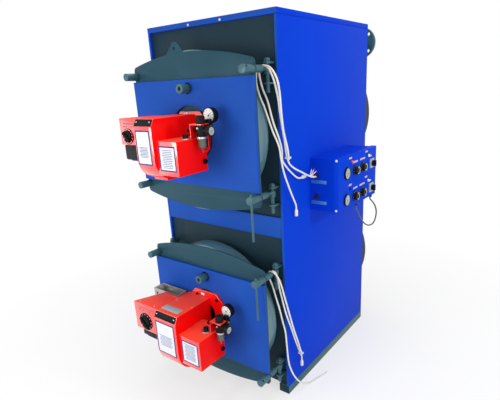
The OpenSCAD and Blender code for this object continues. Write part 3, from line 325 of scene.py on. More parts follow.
for name, route in routes.items():
    curve = bpy.data.curves.new(name + "_line", "CURVE")
    curve.dimensions = "3D"
    path = smooth_line([spot(*mm) for mm in route])
    line = curve.splines.new("POLY")
    line.points.add(len(path) - 1)
    for point, place in zip(line.points, path):
        point.co = (*place, 1)
    curve.bevel_depth = CABLE_R / 1000
    curve.bevel_resolution = 3
    curve.use_fill_caps = True
    cable = bpy.data.objects.new(name + "_cord", curve)
    bpy.context.scene.collection.objects.link(cable)
    grey = name == "loop_cable"
    curve.materials.append(finishes["cable_grey" if grey else "cable_white"])
    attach(cable, "boiler")
    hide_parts(name)
    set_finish(cable, "grey_cable" if grey else "white_cable")

# %% [markdown]
# ## Painted and moulded bodies
# A CAD solid has knife edges, and real sheet and castings never do: a folded edge is a few millimetres
# round and catches a line of light. Each visible solid is copied, its triangles are merged back to flat
# faces, and a narrow bevel rounds its sharp edges. The copy then stands for the node.

# %% A helper that copies a CAD solid with softened edges
WELD_M = 0.00001
FLAT, SHARP = math.radians(0.6), math.radians(32)
wearing = {}


def alone(piece):
    """Makes one object the only selected and active one."""
    bpy.ops.object.select_all(action="DESELECT")
    piece.select_set(True)
    bpy.context.view_layer.objects.active = piece


def softened(node, coat, radius_mm, slot):
    """A copy of a CAD node with rounded edges that replaces it."""
    source = nodes[node]
    piece = bpy.data.objects.new(node + "_soft", source.data.copy())
    bpy.context.scene.collection.objects.link(piece)
    piece.data.materials.clear()
    piece.data.materials.append(finishes[coat])
    alone(piece)
    bpy.ops.object.mode_set(mode="EDIT")
    bpy.ops.mesh.select_all(action="SELECT")
    bpy.ops.mesh.remove_doubles(threshold=WELD_M)
    bpy.ops.mesh.dissolve_limited(angle_limit=FLAT)
    bpy.ops.object.mode_set(mode="OBJECT")
    bevel = piece.modifiers.new("edge", "BEVEL")
    bevel.width = radius_mm / 1000
    bevel.segments = 2
    bevel.limit_method = "ANGLE"
    bevel.angle_limit = SHARP
    bevel.use_clamp_overlap = True
    bpy.ops.object.modifier_apply(modifier="edge")
    bpy.ops.object.shade_smooth_by_angle(angle=SHARP)
    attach(piece, source["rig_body"])
    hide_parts(node)
    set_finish(piece, slot)
    wearing[node] = piece


# node, finish, edge radius in mm, record slot
bodies = [
    ("left_panel", "casing_blue", 3, "blue_paint"), ("right_panel", "casing_blue", 3, "blue_paint"),
    ("rear_panel", "casing_blue", 0.8, "blue_paint"), ("top_cover", "casing_blue", 3, "blue_paint"),
    ("middle_band", "front_face_blue", 1.5, "blue_paint"), ("control_box", "casing_blue", 2, "blue_paint"),
    ("front_plate", "front_plate", 1, "dark_paint"), ("skids", "skid", 1.5, "dark_paint"),
    ("rear_ends", "teal", 2, "teal_paint"), ("water_flange", "hardware", 1.5, "teal_paint"),
    ("hinge_lugs", "hardware", 1, "teal_paint"), ("hinge_pins", "hardware", 1.2, "teal_paint"),
    ("clamp_eyebolts", "hardware", 1.5, "teal_paint"),
]
for side in ("upper_", "lower_"):
    bodies += [
        (side + "door_plate", "teal", 1.2, "teal_paint"), (side + "door_drum", "drum", 1, "teal_paint"),
        (side + "door_panel", "front_face_blue", 2, "door_blue_paint"), (side + "sight_tube", "hardware", 1, "teal_paint"),
        (side + "clamps", "hardware", 1.2, "teal_paint"), (side + "burner_flange", "red", 2.5, "red_paint"),
        (side + "fan_housing", "red", 3, "red_paint"), (side + "burner_box", "red", 2, "red_paint"),
        (side + "oil_tank", "red", 2, "red_paint"), (side + "motor", "motor", 4, "motor_black"),
        (side + "burner_fittings", "black", 1, "black_plastic"), (side + "regulator", "black", 1.5, "black_plastic"),
        (side + "filter_bowl", "bowl", 1.5, "clear_plastic"),
    ]
bodies += [
    ("lower_tray", "stainless", 0.6, "stainless"), ("thermometers", "black", 1.2, "black_plastic"),
    ("thermostat_knobs", "black", 1.5, "black_plastic"), ("selector_switches", "grey", 1.2, "grey_plastic"),
    ("indicator_lamps", "lens_white", 2, "lamp_lens"), ("cable_grommets", "grommet", 1.5, "red_rubber"),
    ("cable_glands", "black", 1, "black_plastic"), ("cable_ties", "white", 0.4, "white_cable"),
]
for node, coat, radius_mm, slot in bodies:
    softened(node, coat, radius_mm, slot)
for node in ("upper_drum", "lower_drum"):
    nodes[node].data.materials.clear()
    nodes[node].data.materials.append(finishes["furnace"])
print("softened bodies:", len(wearing))

# %% [markdown]
# ## Tools for the small pieces
# Screws, dials and labels are made flat on the ground with +Z outwards and +Y up, then turned to their
# place. The turn is applied, so the place ends up in the mesh. A round piece starts as a disc whose face
# is extruded and resized along its outline, as it would be turned on a lathe. A plate starts as a cube
# set to its size with bevelled edges, and a label gets its border by insetting the front face.

# %% Helpers for turned pieces, plates and labels
RIGHT, FRONT, TOP = Vector((1, 0, 0)), Vector((0, -1, 0)), Vector((0, 0, 1))
CREASE = math.radians(35)


def seat(piece, at, facing, upwards, coat, body, slot):
    """Turns a piece to its place, paints it and lets it ride on its body."""
    out = Vector(facing).normalized()
    rise = Vector(upwards) - out * out.dot(Vector(upwards))
    rise.normalize()
    piece.matrix_world = Matrix.Translation(at) @ Matrix((rise.cross(out), rise, out)).transposed().to_4x4()
    alone(piece)
    bpy.ops.object.transform_apply(location=True, rotation=True, scale=True)
    if coat:
        piece.data.materials.clear()
        piece.data.materials.append(finishes[coat])
    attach(piece, body)
    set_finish(piece, slot)
    return piece


def turned(name, outline, at, facing, coat, body, slot, sides=32):
    """A round piece from its outline of (radius, height) in mm."""
    bpy.ops.object.select_all(action="DESELECT")
    first, low = outline[0]
    bpy.ops.mesh.primitive_circle_add(vertices=sides, radius=first / 1000, fill_type="NGON",
                                      location=(0, 0, low / 1000))
    piece = bpy.context.active_object
    piece.name = name
    bpy.ops.object.transform_apply(location=True, rotation=True, scale=True)
    bpy.ops.object.mode_set(mode="EDIT")
    bpy.ops.mesh.select_all(action="SELECT")
    for (r0, h0), (r1, h1) in zip(outline, outline[1:]):
        bpy.ops.mesh.extrude_region_move(TRANSFORM_OT_translate={"value": (0, 0, (h1 - h0) / 1000)})
        bpy.ops.transform.resize(value=(r1 / r0, r1 / r0, 1))
    bpy.ops.mesh.select_all(action="SELECT")
    bpy.ops.mesh.normals_make_consistent(inside=False)
    bpy.ops.object.mode_set(mode="OBJECT")
    bpy.ops.object.shade_smooth_by_angle(angle=CREASE)
    across = TOP if abs(Vector(facing).z) < 0.9 else FRONT
    return seat(piece, at, facing, across, coat, body, slot)


def plate(name, size, at, facing, coat, body, slot, edge=0.3, upwards=TOP):
    """A plate of width, height and thickness in mm, its back on the spot, with bevelled edges."""
    bpy.ops.object.select_all(action="DESELECT")
    bpy.ops.mesh.primitive_cube_add(size=1, location=(0, 0, size[2] / 2000))
    piece = bpy.context.active_object
    piece.name = name
    piece.scale = [v / 1000 for v in size]
    bpy.ops.object.transform_apply(location=True, rotation=True, scale=True)
    bevel = piece.modifiers.new("edge", "BEVEL")
    bevel.width = edge / 1000
    bevel.segments = 2
    bpy.ops.object.modifier_apply(modifier="edge")
    bpy.ops.object.shade_smooth_by_angle(angle=CREASE)
    return seat(piece, at, facing, upwards, coat, body, slot)


def pick(piece, test):
    """Selects the faces that pass a test on their centre and normal, in edit mode."""
    alone(piece)
    bpy.ops.object.mode_set(mode="EDIT")
    bpy.ops.mesh.select_mode(type="FACE")
    bpy.ops.mesh.select_all(action="DESELECT")
    bpy.ops.object.mode_set(mode="OBJECT")
    for face in piece.data.polygons:
        face.select = bool(test(face.center, face.normal))
    bpy.ops.object.mode_set(mode="EDIT")


def repaint(piece, coat, test):
    """Gives the faces that pass the test another finish."""
    piece.data.materials.append(finishes[coat])
    index = len(piece.data.materials) - 1
    for face in piece.data.polygons:
        if test(face.center, face.normal):
            face.material_index = index


def bordered(piece, facing, border, coat):
    """Insets the face that looks outwards and paints the middle."""
    out = Vector(facing)
    pick(piece, lambda centre, normal: normal.dot(out) > 0.95)
    bpy.ops.mesh.inset(thickness=border / 1000, depth=0)
    piece.data.materials.append(finishes[coat])
    piece.active_material_index = len(piece.data.materials) - 1
    bpy.ops.object.material_slot_assign()
    bpy.ops.object.mode_set(mode="OBJECT")
    return piece


def joined(name, parts):
    """Joins parts of one body into one piece."""
    bpy.ops.object.select_all(action="DESELECT")
    for part in parts:
        part.select_set(True)
    bpy.context.view_layer.objects.active = parts[0]
    bpy.ops.object.join()
    parts[0].name = name
    return parts[0]


def copied(piece, name, move_mm, body):
    """A copy of a finished piece with its own mesh, moved in millimetres."""
    twin = bpy.data.objects.new(name, piece.data.copy())
    bpy.context.scene.collection.objects.link(twin)
    twin.data.transform(Matrix.Translation(Vector(move_mm) / 1000))
    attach(twin, body)
    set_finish(twin, piece["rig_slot"])
    return twin


print("directions:", {"right": tuple(RIGHT), "front": tuple(FRONT), "top": tuple(TOP)})

# %% [markdown]
# ## Plugs on the cables
# Three of the white cables end in small moulded plugs. Each is a turned body with a narrower collar where
# the cable goes in, so it is its own piece on its own cable. Four short wires with bared ends stand by the
# upper grommet.

# %% Cable plugs
plug_outline = [(4.6, 0.3), (5.2, 4), (7.6, 8), (8, 10), (8, 31), (7.2, 33.5), (5, 34)]
plug_ways = {"upper_cable_a": (0, 1, 0), "upper_cable_b": (0, 0, -1), "lower_cable_a": (0, 0, -1)}
for name, way in plug_ways.items():
    at = spot(*routes[name][-1])
    turned(name + "_plug", plug_outline, at, way, "white", "boiler", "white_plastic")
    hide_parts("cable_plugs")
wire_outline = [(2.0, 0), (2.1, 20), (2.1, 32), (0.9, 32.5), (0.9, 40), (0.5, 41)]
wire_ways = [(0.2, 0.1, 0.95), (0.2, 0.55, 0.8), (0.3, 0.8, 0.5), (0.2, 0.85, -0.35)]
SHEATH_M = 0.0328
wires = []
for number, way in enumerate(wire_ways):
    foot = spot(415, 180 + 6 * number, 1101)
    wire = turned(f"bared_end_{number}", wire_outline, foot, way, "cable_white", "boiler", "white_cable", 12)
    repaint(wire, "brass", lambda c, n: (c - foot).length > SHEATH_M)
    wires.append(wire)
joined("bared_cable_ends", wires)

# %% [markdown]
# ## Burners
# The two burners are of one make in two sizes: a fan housing with a sloped display, a control box with a
# knob on its left, an oil tank on its right and an air regulator with gauges behind that. The sizes below
# are the ones of the CAD solids, so that every small piece sits on its face.

# %% Burner sizes in the fitter's millimetres
burners = {
    "upper": {"axis": UPPER_AXIS, "left": -80, "right": 28, "scroll_r": 85, "scroll_down": 78, "box_left": -193,
              "knob": (-142.5, 14), "dial_r": 33, "knob_r": 24, "tank_right": 149, "tank_low": -136,
              "regulator": 176},
    "lower": {"axis": LOWER_AXIS, "left": -118, "right": 26, "scroll_r": 112, "scroll_down": 106, "box_left": -285,
              "knob": (-207.5, -6), "dial_r": 45, "knob_r": 33, "tank_right": 157, "tank_low": -149,
              "regulator": 184},
}
FAN_FRONT, BOX_FRONT, TANK_FRONT, FAN_TOP, TANK_TOP = -385, -367, -372, 88, 1
REGULATOR_Y = -257
for key, burner in burners.items():
    print(key, "fan width:", burner["right"] - burner["left"], "tank width:", burner["tank_right"] - burner["right"])

# %% [markdown]
# The housing carries a tall vinyl label that bends round the scroll at its foot. It is a grid laid on the
# front face, and the rows under the scroll's centre are moved back along the curve. The border comes from
# insetting the whole grid, and Solidify gives the film its thickness. The plates stay bare, apart from
# plain ruled lines.

# %% Labels on housing and tank
FILM_M = 0.0005
LINE_PITCH = 7


def housing_label(key, burner):
    """A bordered label that follows the front of a fan housing; tells its middle and width."""
    width = burner["right"] - burner["left"] - 20
    high, low = 43, -burner["scroll_down"] - 20
    middle = burner["left"] + 6 + width / 2
    bpy.ops.object.select_all(action="DESELECT")
    bpy.ops.mesh.primitive_grid_add(x_subdivisions=2, y_subdivisions=24, size=1)
    piece = bpy.context.active_object
    piece.name = key + "_housing_label"
    piece.scale = (width / 1000, (high - low) / 1000, 1)
    bpy.ops.object.transform_apply(location=True, rotation=True, scale=True)
    at = spot(middle, FAN_FRONT - 0.3, burner["axis"] + (high + low) / 2)
    seat(piece, at, FRONT, TOP, "label_edge", key + "_door", "red_paint")
    bordered(piece, FRONT, 6, "label")
    centre_z = (burner["axis"] - burner["scroll_down"]) / 1000
    radius = burner["scroll_r"] / 1000
    for corner in piece.data.vertices:
        drop = centre_z - corner.co.z
        if drop > 0:
            corner.co.y += radius - math.sqrt(radius ** 2 - drop ** 2)
    film = piece.modifiers.new("film", "SOLIDIFY")
    film.thickness = FILM_M
    film.offset = 1
    alone(piece)
    bpy.ops.object.modifier_apply(modifier="film")
    return middle, width


def ruled_lines(name, middle, front, burner, heights, width, body):
    """Plain ruled lines that keep a bare plate from looking empty."""
    lines = []
    for number, height in enumerate(heights):
        at = spot(middle, front, burner["axis"] + height)
        share = (0.82, 0.7, 0.78)[number % 3]
        lines.append(plate(name, (width * share, 2.6, 0.3), at, FRONT, "label_grey", body, "red_paint", 0.1))
    return joined(name, lines)


for key, burner in burners.items():
    body = key + "_door"
    middle, width = housing_label(key, burner)
    step = burner["scroll_down"] / 14
    heights = [-20 - step - step * i for i in range(8)]
    ruled_lines(key + "_housing_lines", middle, FAN_FRONT - 0.8, burner, heights, width - 22, body)
    tank_mid = (burner["right"] + burner["tank_right"]) / 2 + 2
    tank_wide = burner["tank_right"] - burner["right"] - 28
    tall = TANK_TOP - burner["tank_low"] - 36
    mid_z = (TANK_TOP + burner["tank_low"]) / 2
    at = spot(tank_mid, TANK_FRONT, burner["axis"] + mid_z)
    film = plate(key + "_tank_label", (tank_wide, tall, 0.5), at, FRONT, "label_edge", body, "red_paint", 0.1)
    bordered(film, FRONT, 5.5, "label")
    heights = [mid_z + tall / 2 - 16 - LINE_PITCH * i for i in range(int((tall - 24) / LINE_PITCH))]
    ruled_lines(key + "_tank_lines", tank_mid, TANK_FRONT - 0.5, burner, heights, tank_wide - 20, body)
    print(key, "label width mm:", width, "tank label:", tank_wide, "x", tall)

# %% [markdown]
# The display is a dark window held by two pan-head screws, the second a copy of the first. The knob beside
# it has a printed scale, set out tick by tick round its middle. A row of indicator lamps sits above it.

# %% Display screws, knob scale and lamp row
slope = Vector((0, -33, 18)).normalized()
screw_outline = [(3.4, 0), (3.4, 0.8), (2.6, 1.9), (1.2, 2.3), (1.1, 1.3)]
lamp_outline = [(2.6, 0), (2.6, 0.8), (2.0, 1.8), (1.0, 2.4)]
for key, burner in burners.items():
    body = key + "_door"
    axis = burner["axis"]
    foot = spot(burner["left"] + 14, FAN_FRONT + 10, axis + FAN_TOP - 14.5) + slope * 0.003
    first = turned(key + "_display_screw_left", screw_outline, foot, slope, "zinc", body, "bare_steel", 20)
    copied(first, key + "_display_screw_right", (burner["right"] - burner["left"] - 28, 0, 0), body)
    knob_at = spot(burner["knob"][0], BOX_FRONT - 3, axis + burner["knob"][1])
    ticks = []
    tick = (1.6, burner["dial_r"] - burner["knob_r"] - 4, 0.4)
    reach = (burner["dial_r"] + burner["knob_r"]) / 2
    for number in range(11):
        angle = math.radians(225 - 27 * number)
        way = RIGHT * math.cos(angle) + TOP * math.sin(angle)
        at = knob_at + way * reach / 1000
        ticks.append(plate("tick", tick, at, FRONT, "dial", body, "white_plastic", 0.1, way))
    joined(key + "_knob_scale", ticks)
    pointer_way = (-RIGHT - TOP).normalized()
    pointer_at = knob_at + FRONT * 0.015 + pointer_way * burner["knob_r"] * 0.00055
    pointer = (1.8, burner["knob_r"] * 0.6, 0.5)
    plate(key + "_knob_pointer", pointer, pointer_at, FRONT, "dial", body, "white_plastic", 0.15, pointer_way)
    wide = burner["left"] - burner["box_left"]
    for number in range(5):
        coat = "lens_red" if number == 2 else "ink"
        at = spot(burner["box_left"] + wide * (0.25 + 0.14 * number), BOX_FRONT, axis + FAN_TOP - 34)
        turned(f"{key}_lamp_{number}", lamp_outline, at, FRONT, coat, body, "lamp_lens", 16)
    at = spot(burner["box_left"] + wide * 0.53, BOX_FRONT, axis + FAN_TOP - 22)
    plate(key + "_lamp_strip", (wide * 0.66, 5, 0.4), at, FRONT, "label_grey", body, "white_plastic", 0.1)
    print(key, "knob scale radius mm:", reach)

# %% [markdown]
# Dials come next: the pressure gauges on the burners and the thermometers on the control box all have a
# pale face, printed marks and a needle on a small hub, sunk behind a bezel. One function makes them.

# %% A dial face with marks and a needle
FIRST_MARK, SWEEP = 225, 270


def dial(name, at, facing, radius, marks, needle_deg, coat, body, slot):
    """A dial face with marks round three quarters of a turn, a needle and its hub."""
    out = Vector(facing)
    side = TOP.cross(out)
    face = [(radius, 0), (radius, 0.4), (radius * 0.94, 0.6)]
    parts = [turned(name, face, at, facing, coat, body, slot, 40)]
    for number in range(marks):
        angle = math.radians(FIRST_MARK - SWEEP * number / (marks - 1))
        way = side * math.cos(angle) + TOP * math.sin(angle)
        long = radius * (0.24 if number % 2 == 0 else 0.15)
        mark_at = at + way * (radius * 0.9 - long / 2) / 1000 + out * 0.0006
        parts.append(plate("mark", (radius * 0.05, long, 0.2), mark_at, facing, "ink", body, slot, 0.05, way))
    angle = math.radians(needle_deg)
    way = side * math.cos(angle) + TOP * math.sin(angle)
    needle_at = at + way * radius * 0.00025 + out * 0.001
    needle = (radius * 0.06, radius * 0.85, 0.4)
    parts.append(plate("needle", needle, needle_at, facing, "ink", body, slot, 0.1, way))
    hub = [(radius * 0.12, 0.6), (radius * 0.12, 1.6), (radius * 0.06, 2)]
    parts.append(turned("hub", hub, at, facing, "ink", body, slot, 16))
    return joined(name, parts)


LARGE_BACK, SMALL_OUT = 49, 54
for key, burner in burners.items():
    body = key + "_door"
    large = spot(burner["regulator"], REGULATOR_Y + LARGE_BACK, burner["axis"] + 88)
    dial(key + "_large_gauge_face", large, FRONT, 28, 11, 40, "dial", body, "white_plastic")
    small = spot(burner["regulator"] + SMALL_OUT, REGULATOR_Y, burner["axis"] + 33)
    dial(key + "_small_gauge_face", small, RIGHT, 16.5, 9, 200, "dial_grey", body, "white_plastic")
print("gauge faces on both burners")

# %% [markdown]
# Behind the tank the air goes through a filter regulator. Its knob is ribbed for grip, its clear bowl hangs
# from a bright collar and shows the white filter element, and push-in fittings hold the air line. The ribs
# are made by pulling in every second column of a turned ring.

# %% Regulator knob ribs, bowl collar, filter element and fittings
RIB_GROOVE = 0.955
collar_outline = [(19.6, 2), (20.6, 3), (20.6, 9), (19.6, 10.2)]
element_outline = [(7, -26), (9, -25), (9, -2), (7, -1)]
set_screw_outline = [(5, 0), (5, 1.5), (4, 3), (2, 3), (1.8, 2)]
fitting_outline = [(6.6, 0), (8.4, 0.8), (8.4, 9), (7.4, 9.5), (7.4, 14), (6.4, 15)]
stud_outline = [(5.2, 0), (5.2, 5), (4.2, 6), (4.2, 9), (2.6, 10)]
for key, burner in burners.items():
    body = key + "_door"
    axis = burner["axis"]
    stand = spot(burner["regulator"], REGULATOR_Y, axis)
    ribs = turned(key + "_regulator_ribs", [(18.6, 66), (18.6, 87)], stand, TOP, "black", body, "black_plastic", 48)
    middle = Vector((stand.x, stand.y, 0))
    columns = sorted(ribs.data.vertices, key=lambda v: math.atan2(v.co.y - middle.y, v.co.x - middle.x))
    for number, corner in enumerate(columns):
        if (number // 2) % 2:
            corner.co.x = middle.x + (corner.co.x - middle.x) * RIB_GROOVE
            corner.co.y = middle.y + (corner.co.y - middle.y) * RIB_GROOVE
    turned(key + "_bowl_collar", collar_outline, stand, TOP, "zinc", body, "bare_steel", 40)
    at = stand + TOP * 0.010
    turned(key + "_filter_element", element_outline, at, TOP, "white", body, "white_plastic", 24)
    at = spot(burner["regulator"], REGULATOR_Y - 20.5, axis + 44)
    turned(key + "_regulator_screw", set_screw_outline, at, FRONT, "zinc", body, "bare_steel", 20)
    at = spot(burner["regulator"] - 62, REGULATOR_Y, axis + 33)
    turned(key + "_air_fitting", fitting_outline, at, -RIGHT, "black", body, "black_plastic", 24)
    at = spot(burner["regulator"] + 18, REGULATOR_Y + 36, axis + 46)
    turned(key + "_valve_stud", stud_outline, at, RIGHT, "brass", body, "bare_steel", 20)
print("regulators dressed:", sorted(burners))

# %% [markdown]
# A few fasteners and plates finish the burners: black hexagon bolts through the flange of the lower burner,
# small white tags, and a bare grey plate, screws and a pin on top of its housing. A hexagon bolt is a
# six-sided disc, extruded and drawn in at the crown.

# %% Flange bolts, tags and lid screws
bolt_outline = [(9.5, 0), (9.5, 1.5), (8, 1.6), (8, 6.5), (7, 7.5), (3, 7.6)]
lid_screw_outline = [(3.6, 0), (3.6, 1), (2.6, 2), (1.2, 2.2)]
at = spot(-58, -149, LOWER_AXIS + 88)
hexagon = turned("lower_flange_bolt_0", bolt_outline, at, FRONT, "black", "lower_door", "black_plastic", 6)
for number, (across, rise) in enumerate([(132, 0), (132, -176), (0, -176)], 1):
    copied(hexagon, f"lower_flange_bolt_{number}", (across, 0, rise), "lower_door")
for key, x, y, rise in (("upper", -22, -139, 89), ("lower", -20, -149, 98)):
    at = spot(x, y, burners[key]["axis"] + rise)
    tag = plate(key + "_flange_tag", (26, 17, 0.5), at, FRONT, "label_grey", key + "_door", "white_plastic", 0.1)
    bordered(tag, FRONT, 2, "label")
at = spot(-52, -326, LOWER_AXIS + FAN_TOP)
plate("lower_lid_plate", (112, 40, 0.6), at, TOP, "grey", "lower_door", "white_plastic", 0.2, -FRONT)
at = spot(-100, -250, LOWER_AXIS + FAN_TOP)
lid_screw = turned("lower_lid_screw_0", lid_screw_outline, at, TOP, "zinc", "lower_door", "bare_steel", 20)
for number, (across, back) in enumerate([(116, -12), (-48, -102), (-150, -102)], 1):
    copied(lid_screw, f"lower_lid_screw_{number}", (across, back, 0), "lower_door")
at = spot(45, -231, LOWER_AXIS + TANK_TOP)
turned("lower_tank_pin", [(2.6, 0), (2.6, 9), (1.8, 10)], at, TOP, "zinc", "lower_door", "bare_steel", 16)
print("bolts and tags on the flanges of", sorted(burners))

# %% [markdown]
# Some faces of a solid wear another finish than the rest: the enamel is polished on the fronts, the tops are
# painted a paler orange red that stands in for the light falling on them, the blast tube is scaled steel,
# and the washer under the tank cap is zinc-plated. The faces are found by where they are and which way
# they look. The plate behind the upper knob is inset and painted red inside its rim.

# %% Faces with their own finish
TUBE_START = spot(0, -110, 0).y
for key, burner in burners.items():
    cap = spot(burner["tank_right"] - 45, TANK_FRONT + 95, burner["axis"] + TANK_TOP)
    repaint(wearing[key + "_burner_fittings"], "zinc",
            lambda c, n: abs(c.z - cap.z) < 0.0025 and (c - cap).xy.length < 0.024)
    for node in ("fan_housing", "burner_box", "oil_tank", "burner_flange"):
        repaint(wearing[f"{key}_{node}"], "red_front", lambda c, n: n.y < -0.6)
        # Painted light: the upward faces take a paler orange red.
        repaint(wearing[f"{key}_{node}"], "red_top_painted_light", lambda c, n: n.z > 0.8)
    repaint(wearing[key + "_burner_flange"], "furnace", lambda c, n: c.y > TUBE_START)
fittings = wearing["upper_burner_fittings"]
knob_x, knob_rise = burners["upper"]["knob"]
ring = spot(knob_x, BOX_FRONT, UPPER_AXIS + knob_rise)
pick(fittings, lambda c, n: (c - ring).length < 0.036 and n.y < -0.95 and c.y > ring.y - 0.0032)
bpy.ops.mesh.inset(thickness=0.003, depth=0)
fittings.data.materials.append(finishes["red_front"])
fittings.active_material_index = len(fittings.data.materials) - 1
bpy.ops.object.material_slot_assign()
bpy.ops.object.mode_set(mode="OBJECT")
print("finishes on the upper fittings:", len(fittings.data.materials))

# %% [markdown]
# A clamp sleeve has a cross hole for the tommy bar near its front end, and stops wherever it is tight. Two
# sleeves without a bar are turned about their own axis, which brings their holes into view. The corners
# round the axis are selected, and the rotate operator turns them about the sleeve's middle.

# %% Turned clamp sleeves
SLEEVE_X, SLEEVE_RISE, SLEEVE_R = 344, 256, 17
for node, z, degrees in (("upper_clamps", UPPER_AXIS + SLEEVE_RISE, -55),
                         ("lower_clamps", LOWER_AXIS - SLEEVE_RISE, -40)):
    middle = spot(SLEEVE_X, 0, z)
    sleeve = wearing[node]
    alone(sleeve)
    bpy.ops.object.mode_set(mode="EDIT")
    bpy.ops.mesh.select_mode(type="VERT")
    bpy.ops.mesh.select_all(action="DESELECT")
    bpy.ops.object.mode_set(mode="OBJECT")
    for corner in sleeve.data.vertices:
        corner.select = (corner.co - middle).xz.length < (SLEEVE_R + 1) / 1000
    moved = sum(corner.select for corner in sleeve.data.vertices)
    bpy.ops.object.mode_set(mode="EDIT")
    bpy.ops.transform.rotate(value=math.radians(degrees), orient_axis="Y", center_override=middle)
    bpy.ops.object.mode_set(mode="OBJECT")
    print(node, "sleeve corners turned:", moved, "of", len(sleeve.data.vertices))

# %% [markdown]
# ## Control box
# The box on the right side has two rows: a thermometer, two thermostat knobs and a selector switch, with
# lamps above them. One row is modelled and copied 130 mm down. A knob has fine marks round its skirt and
# broader figures, without numbers, on its front.

# %% Thermometer faces, knob marks and switch handles
BOX_FACE, BOX_END = 532, 238
KNOB_R, KNOB_MARKS = 25, 9
rows = {"top": 1097, "bottom": 967}
ROW_DROP = rows["bottom"] - rows["top"]
# first angle, step in degrees, place out of the box, distance in from the rim, size
knob_rings = [(220, 32.5, 5, 2.1, (1.3, 3, 0.4)), (100, 25, 20, 9.5, (2.6, 7, 0.4))]
at = spot(BOX_FACE + 6, 322, rows["top"])
thermometer = dial("thermometer_face_top", at, RIGHT, 25, 13, 250, "dial_grey", "boiler", "white_plastic")
copied(thermometer, "thermometer_face_bottom", (0, 0, ROW_DROP), "boiler")
for name, y in (("first", 414), ("second", 502)):
    marks = []
    for start, step, out, inset, size in knob_rings:
        for number in range(KNOB_MARKS):
            angle = math.radians(start - step * number)
            way = -FRONT * math.cos(angle) + TOP * math.sin(angle)
            at = spot(BOX_FACE + out, y, rows["top"]) + way * (KNOB_R - inset) / 1000
            marks.append(plate("mark", size, at, RIGHT, "dial", "boiler", "white_plastic", 0.1, way))
    scale = joined(f"thermostat_marks_{name}_top", marks)
    copied(scale, f"thermostat_marks_{name}_bottom", (0, 0, ROW_DROP), "boiler")
repaint(wearing["selector_switches"], "black", lambda c, n: c.x > spot(BOX_FACE + 7.6, 0, 0).x)
repaint(wearing["indicator_lamps"], "lens_red", lambda c, n: c.y < spot(0, 420, 0).y)
repaint(wearing["indicator_lamps"], "black", lambda c, n: c.x < spot(BOX_FACE + 2.9, 0, 0).x)
print("control rows at mm:", rows)

# %% [markdown]
# Plain name strips sit above the knobs and switches. The lid is held by screws in its rim, bare strips sit
# under the cable grommets, and a dark disc at the bottom of the empty lamp hole is painted shade. The
# edges of the casing that look forward wear the greyer front-face blue, painted shade on the same sheet as
# the sides, and two screws hold its top edge.

# %% Name strips, lid screws and end strips
# place along the box, height over the row, width
strips = [(361.5, 66, 30), (421, 40, 48), (503, 41, 62), (551, 69, 30), (602, 39, 30)]
for number, (y, rise, wide) in enumerate(strips):
    at = spot(BOX_FACE, y, rows["top"] + rise)
    strip = plate(f"name_strip_{number}_top", (wide, 9, 0.5), at, RIGHT, "strip", "boiler", "white_plastic", 0.15)
    copied(strip, f"name_strip_{number}_bottom", (0, 0, ROW_DROP), "boiler")
rim_screw_outline = [(6, 0), (6, 1), (4.6, 2.6), (2.2, 3), (2, 1.8)]
at = spot(520, BOX_END, 1169)
screw = turned("lid_screw_high", rim_screw_outline, at, FRONT, "white", "boiler", "white_plastic", 24)
copied(screw, "lid_screw_low", (0, 0, -236), "boiler")
for number, z in enumerate((1063, 962)):
    at = spot(427, BOX_END + 3, z)
    plate(f"end_strip_{number}", (82, 17, 0.5), at, FRONT, "label_blue", "boiler", "white_plastic", 0.15)
# Painted shade: a dark disc at the bottom of the empty lamp hole.
hole_shade_outline = [(8.6, 0), (8.6, 0.5), (7, 0.6)]
at = spot(BOX_FACE - 11.5, 362, rows["bottom"] + 46)
turned("lamp_hole_painted_shade", hole_shade_outline, at, RIGHT, "ink", "boiler", "black_plastic", 24)
# Painted shade: the forward faces of the casing sheets take the greyer front-face blue.
for node in ("top_cover", "left_panel", "right_panel"):
    repaint(wearing[node], "front_face_blue", lambda c, n: n.y < -0.7)
# Painted shade: the forward faces of the skids take the darker front-plate teal.
repaint(wearing["skids"], "front_plate", lambda c, n: n.y < -0.7)
lintel_outline = [(6, 0), (6, 1.2), (4.4, 2.8), (2, 3), (1.9, 1.8)]
at = spot(-100, 0, 1785)
lintel = turned("lintel_screw_left", lintel_outline, at, FRONT, "zinc", "boiler", "bare_steel", 24)
copied(lintel, "lintel_screw_right", (190, 0, 0), "boiler")
print("name strips:", 2 * len(strips))

# %% [markdown]
# ## Floor and light
# A plain white floor takes the shadow and fades to pure white away from the boiler. The world is white to
# the lens and to mirrors but lights the boiler only softly.

# %% Floor and world
FADE_FROM, FADE_TO, NEAR_SHARE = 0.7, 2.2, 0.62
WORLD_LIGHT, WORLD_SEEN = 0.5, 1.0


def lens_rays(tree):
    """A socket that is 1 for what the lens sees, straight, in a mirror or through glass."""
    path = add(tree, "ShaderNodeLightPath").outputs
    seen = add(tree, "ShaderNodeMath", {0: path["Is Camera Ray"], 1: path["Is Glossy Ray"]}, operation="MAXIMUM")
    through = {0: seen.outputs["Value"], 1: path["Is Transmission Ray"]}
    return add(tree, "ShaderNodeMath", through, operation="MAXIMUM").outputs["Value"]


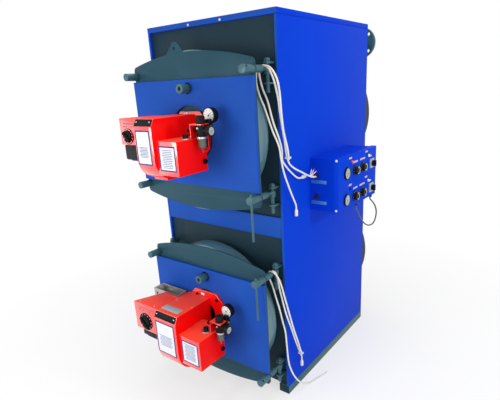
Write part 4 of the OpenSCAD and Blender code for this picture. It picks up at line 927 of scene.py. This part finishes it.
bpy.ops.object.select_all(action="DESELECT")
bpy.ops.mesh.primitive_plane_add(size=30, location=(0, 0, 0))
floor = bpy.context.active_object
floor.name = "studio_floor"
paper, paper_tree, paper_shader = finish_of("studio_paper")
paper_shader.inputs["Base Color"].default_value = linear("#F4F4F4")
paper_shader.inputs["Roughness"].default_value = 0.9
here = add(paper_tree, "ShaderNodeTexCoord")
away = add(paper_tree, "ShaderNodeVectorMath", {0: here.outputs["Object"]}, operation="LENGTH")
share = add(paper_tree, "ShaderNodeMapRange", {"Value": away.outputs["Value"], "From Min": FADE_FROM,
                                               "From Max": FADE_TO, "To Min": NEAR_SHARE, "To Max": 1.0})
fade = add(paper_tree, "ShaderNodeMath", {0: share.outputs["Result"], 1: lens_rays(paper_tree)}, operation="MULTIPLY")
white = add(paper_tree, "ShaderNodeEmission", {"Color": (1, 1, 1, 1), "Strength": 1.0})
blend = add(paper_tree, "ShaderNodeMixShader",
            {0: fade.outputs["Value"], 1: paper_shader.outputs["BSDF"], 2: white.outputs["Emission"]})
for end in [made for made in paper_tree.nodes if made.bl_idname == "ShaderNodeOutputMaterial"]:
    paper_tree.links.new(blend.outputs["Shader"], end.inputs["Surface"])
floor.data.materials.append(paper)

scene = bpy.context.scene
scene.view_settings.view_transform = "Standard"
world = bpy.data.worlds.new("studio_world")
scene.world = world
world.use_nodes = True
sky = world.node_tree
sky.nodes.clear()
power = add(sky, "ShaderNodeMapRange", {"Value": lens_rays(sky), "To Min": WORLD_LIGHT, "To Max": WORLD_SEEN})
glow = add(sky, "ShaderNodeBackground", {"Color": (1, 1, 1, 1), "Strength": power.outputs["Result"]})
add(sky, "ShaderNodeOutputWorld", {"Surface": glow.outputs["Background"]})
print("floor:", floor.name, "world light:", WORLD_LIGHT, "seen as:", WORLD_SEEN)

# %% [markdown]
# Broad lamps do what studio boxes do: a key from the front right, fills from the left and for the doors, a
# closer one for the lower burner, and a top light. A small lamp high on the right draws the soft shadow
# under the control box.

# %% Lamps
# name, place, aim, size in metres, watts
lamps = [
    ("key_lamp", (3.5, -3.2, 1.1), (0, 0, 0.6), 2.4, 44),
    ("side_lamp", (2.7, -0.05, 2.15), (0.4, 0.0, 1.0), 0.35, 17),
    ("left_lamp", (-2.3, -2.3, 0.5), (0, 0, 0.6), 2.4, 14),
    ("door_lamp", (-0.6, -4.4, 0.3), (0, 0, 0.3), 2.0, 22),
    ("burner_lamp", (-0.4, -2.0, 1.4), (-0.2, -0.6, 0.5), 0.8, 12),
    ("top_lamp", (0.4, 0.2, 4.6), (0, 0, 0.9), 3.0, 78),
]
for name, place, aim, size, watts in lamps:
    lamp = bpy.data.lights.new(name, "AREA")
    lamp.shape = "SQUARE"
    lamp.size = size
    lamp.energy = watts
    stand = bpy.data.objects.new(name, lamp)
    scene.collection.objects.link(stand)
    stand.location = place
    stand.rotation_euler = (Vector(aim) - Vector(place)).to_track_quat("-Z", "Y").to_euler()
print("lamps:", [entry[0] for entry in lamps])
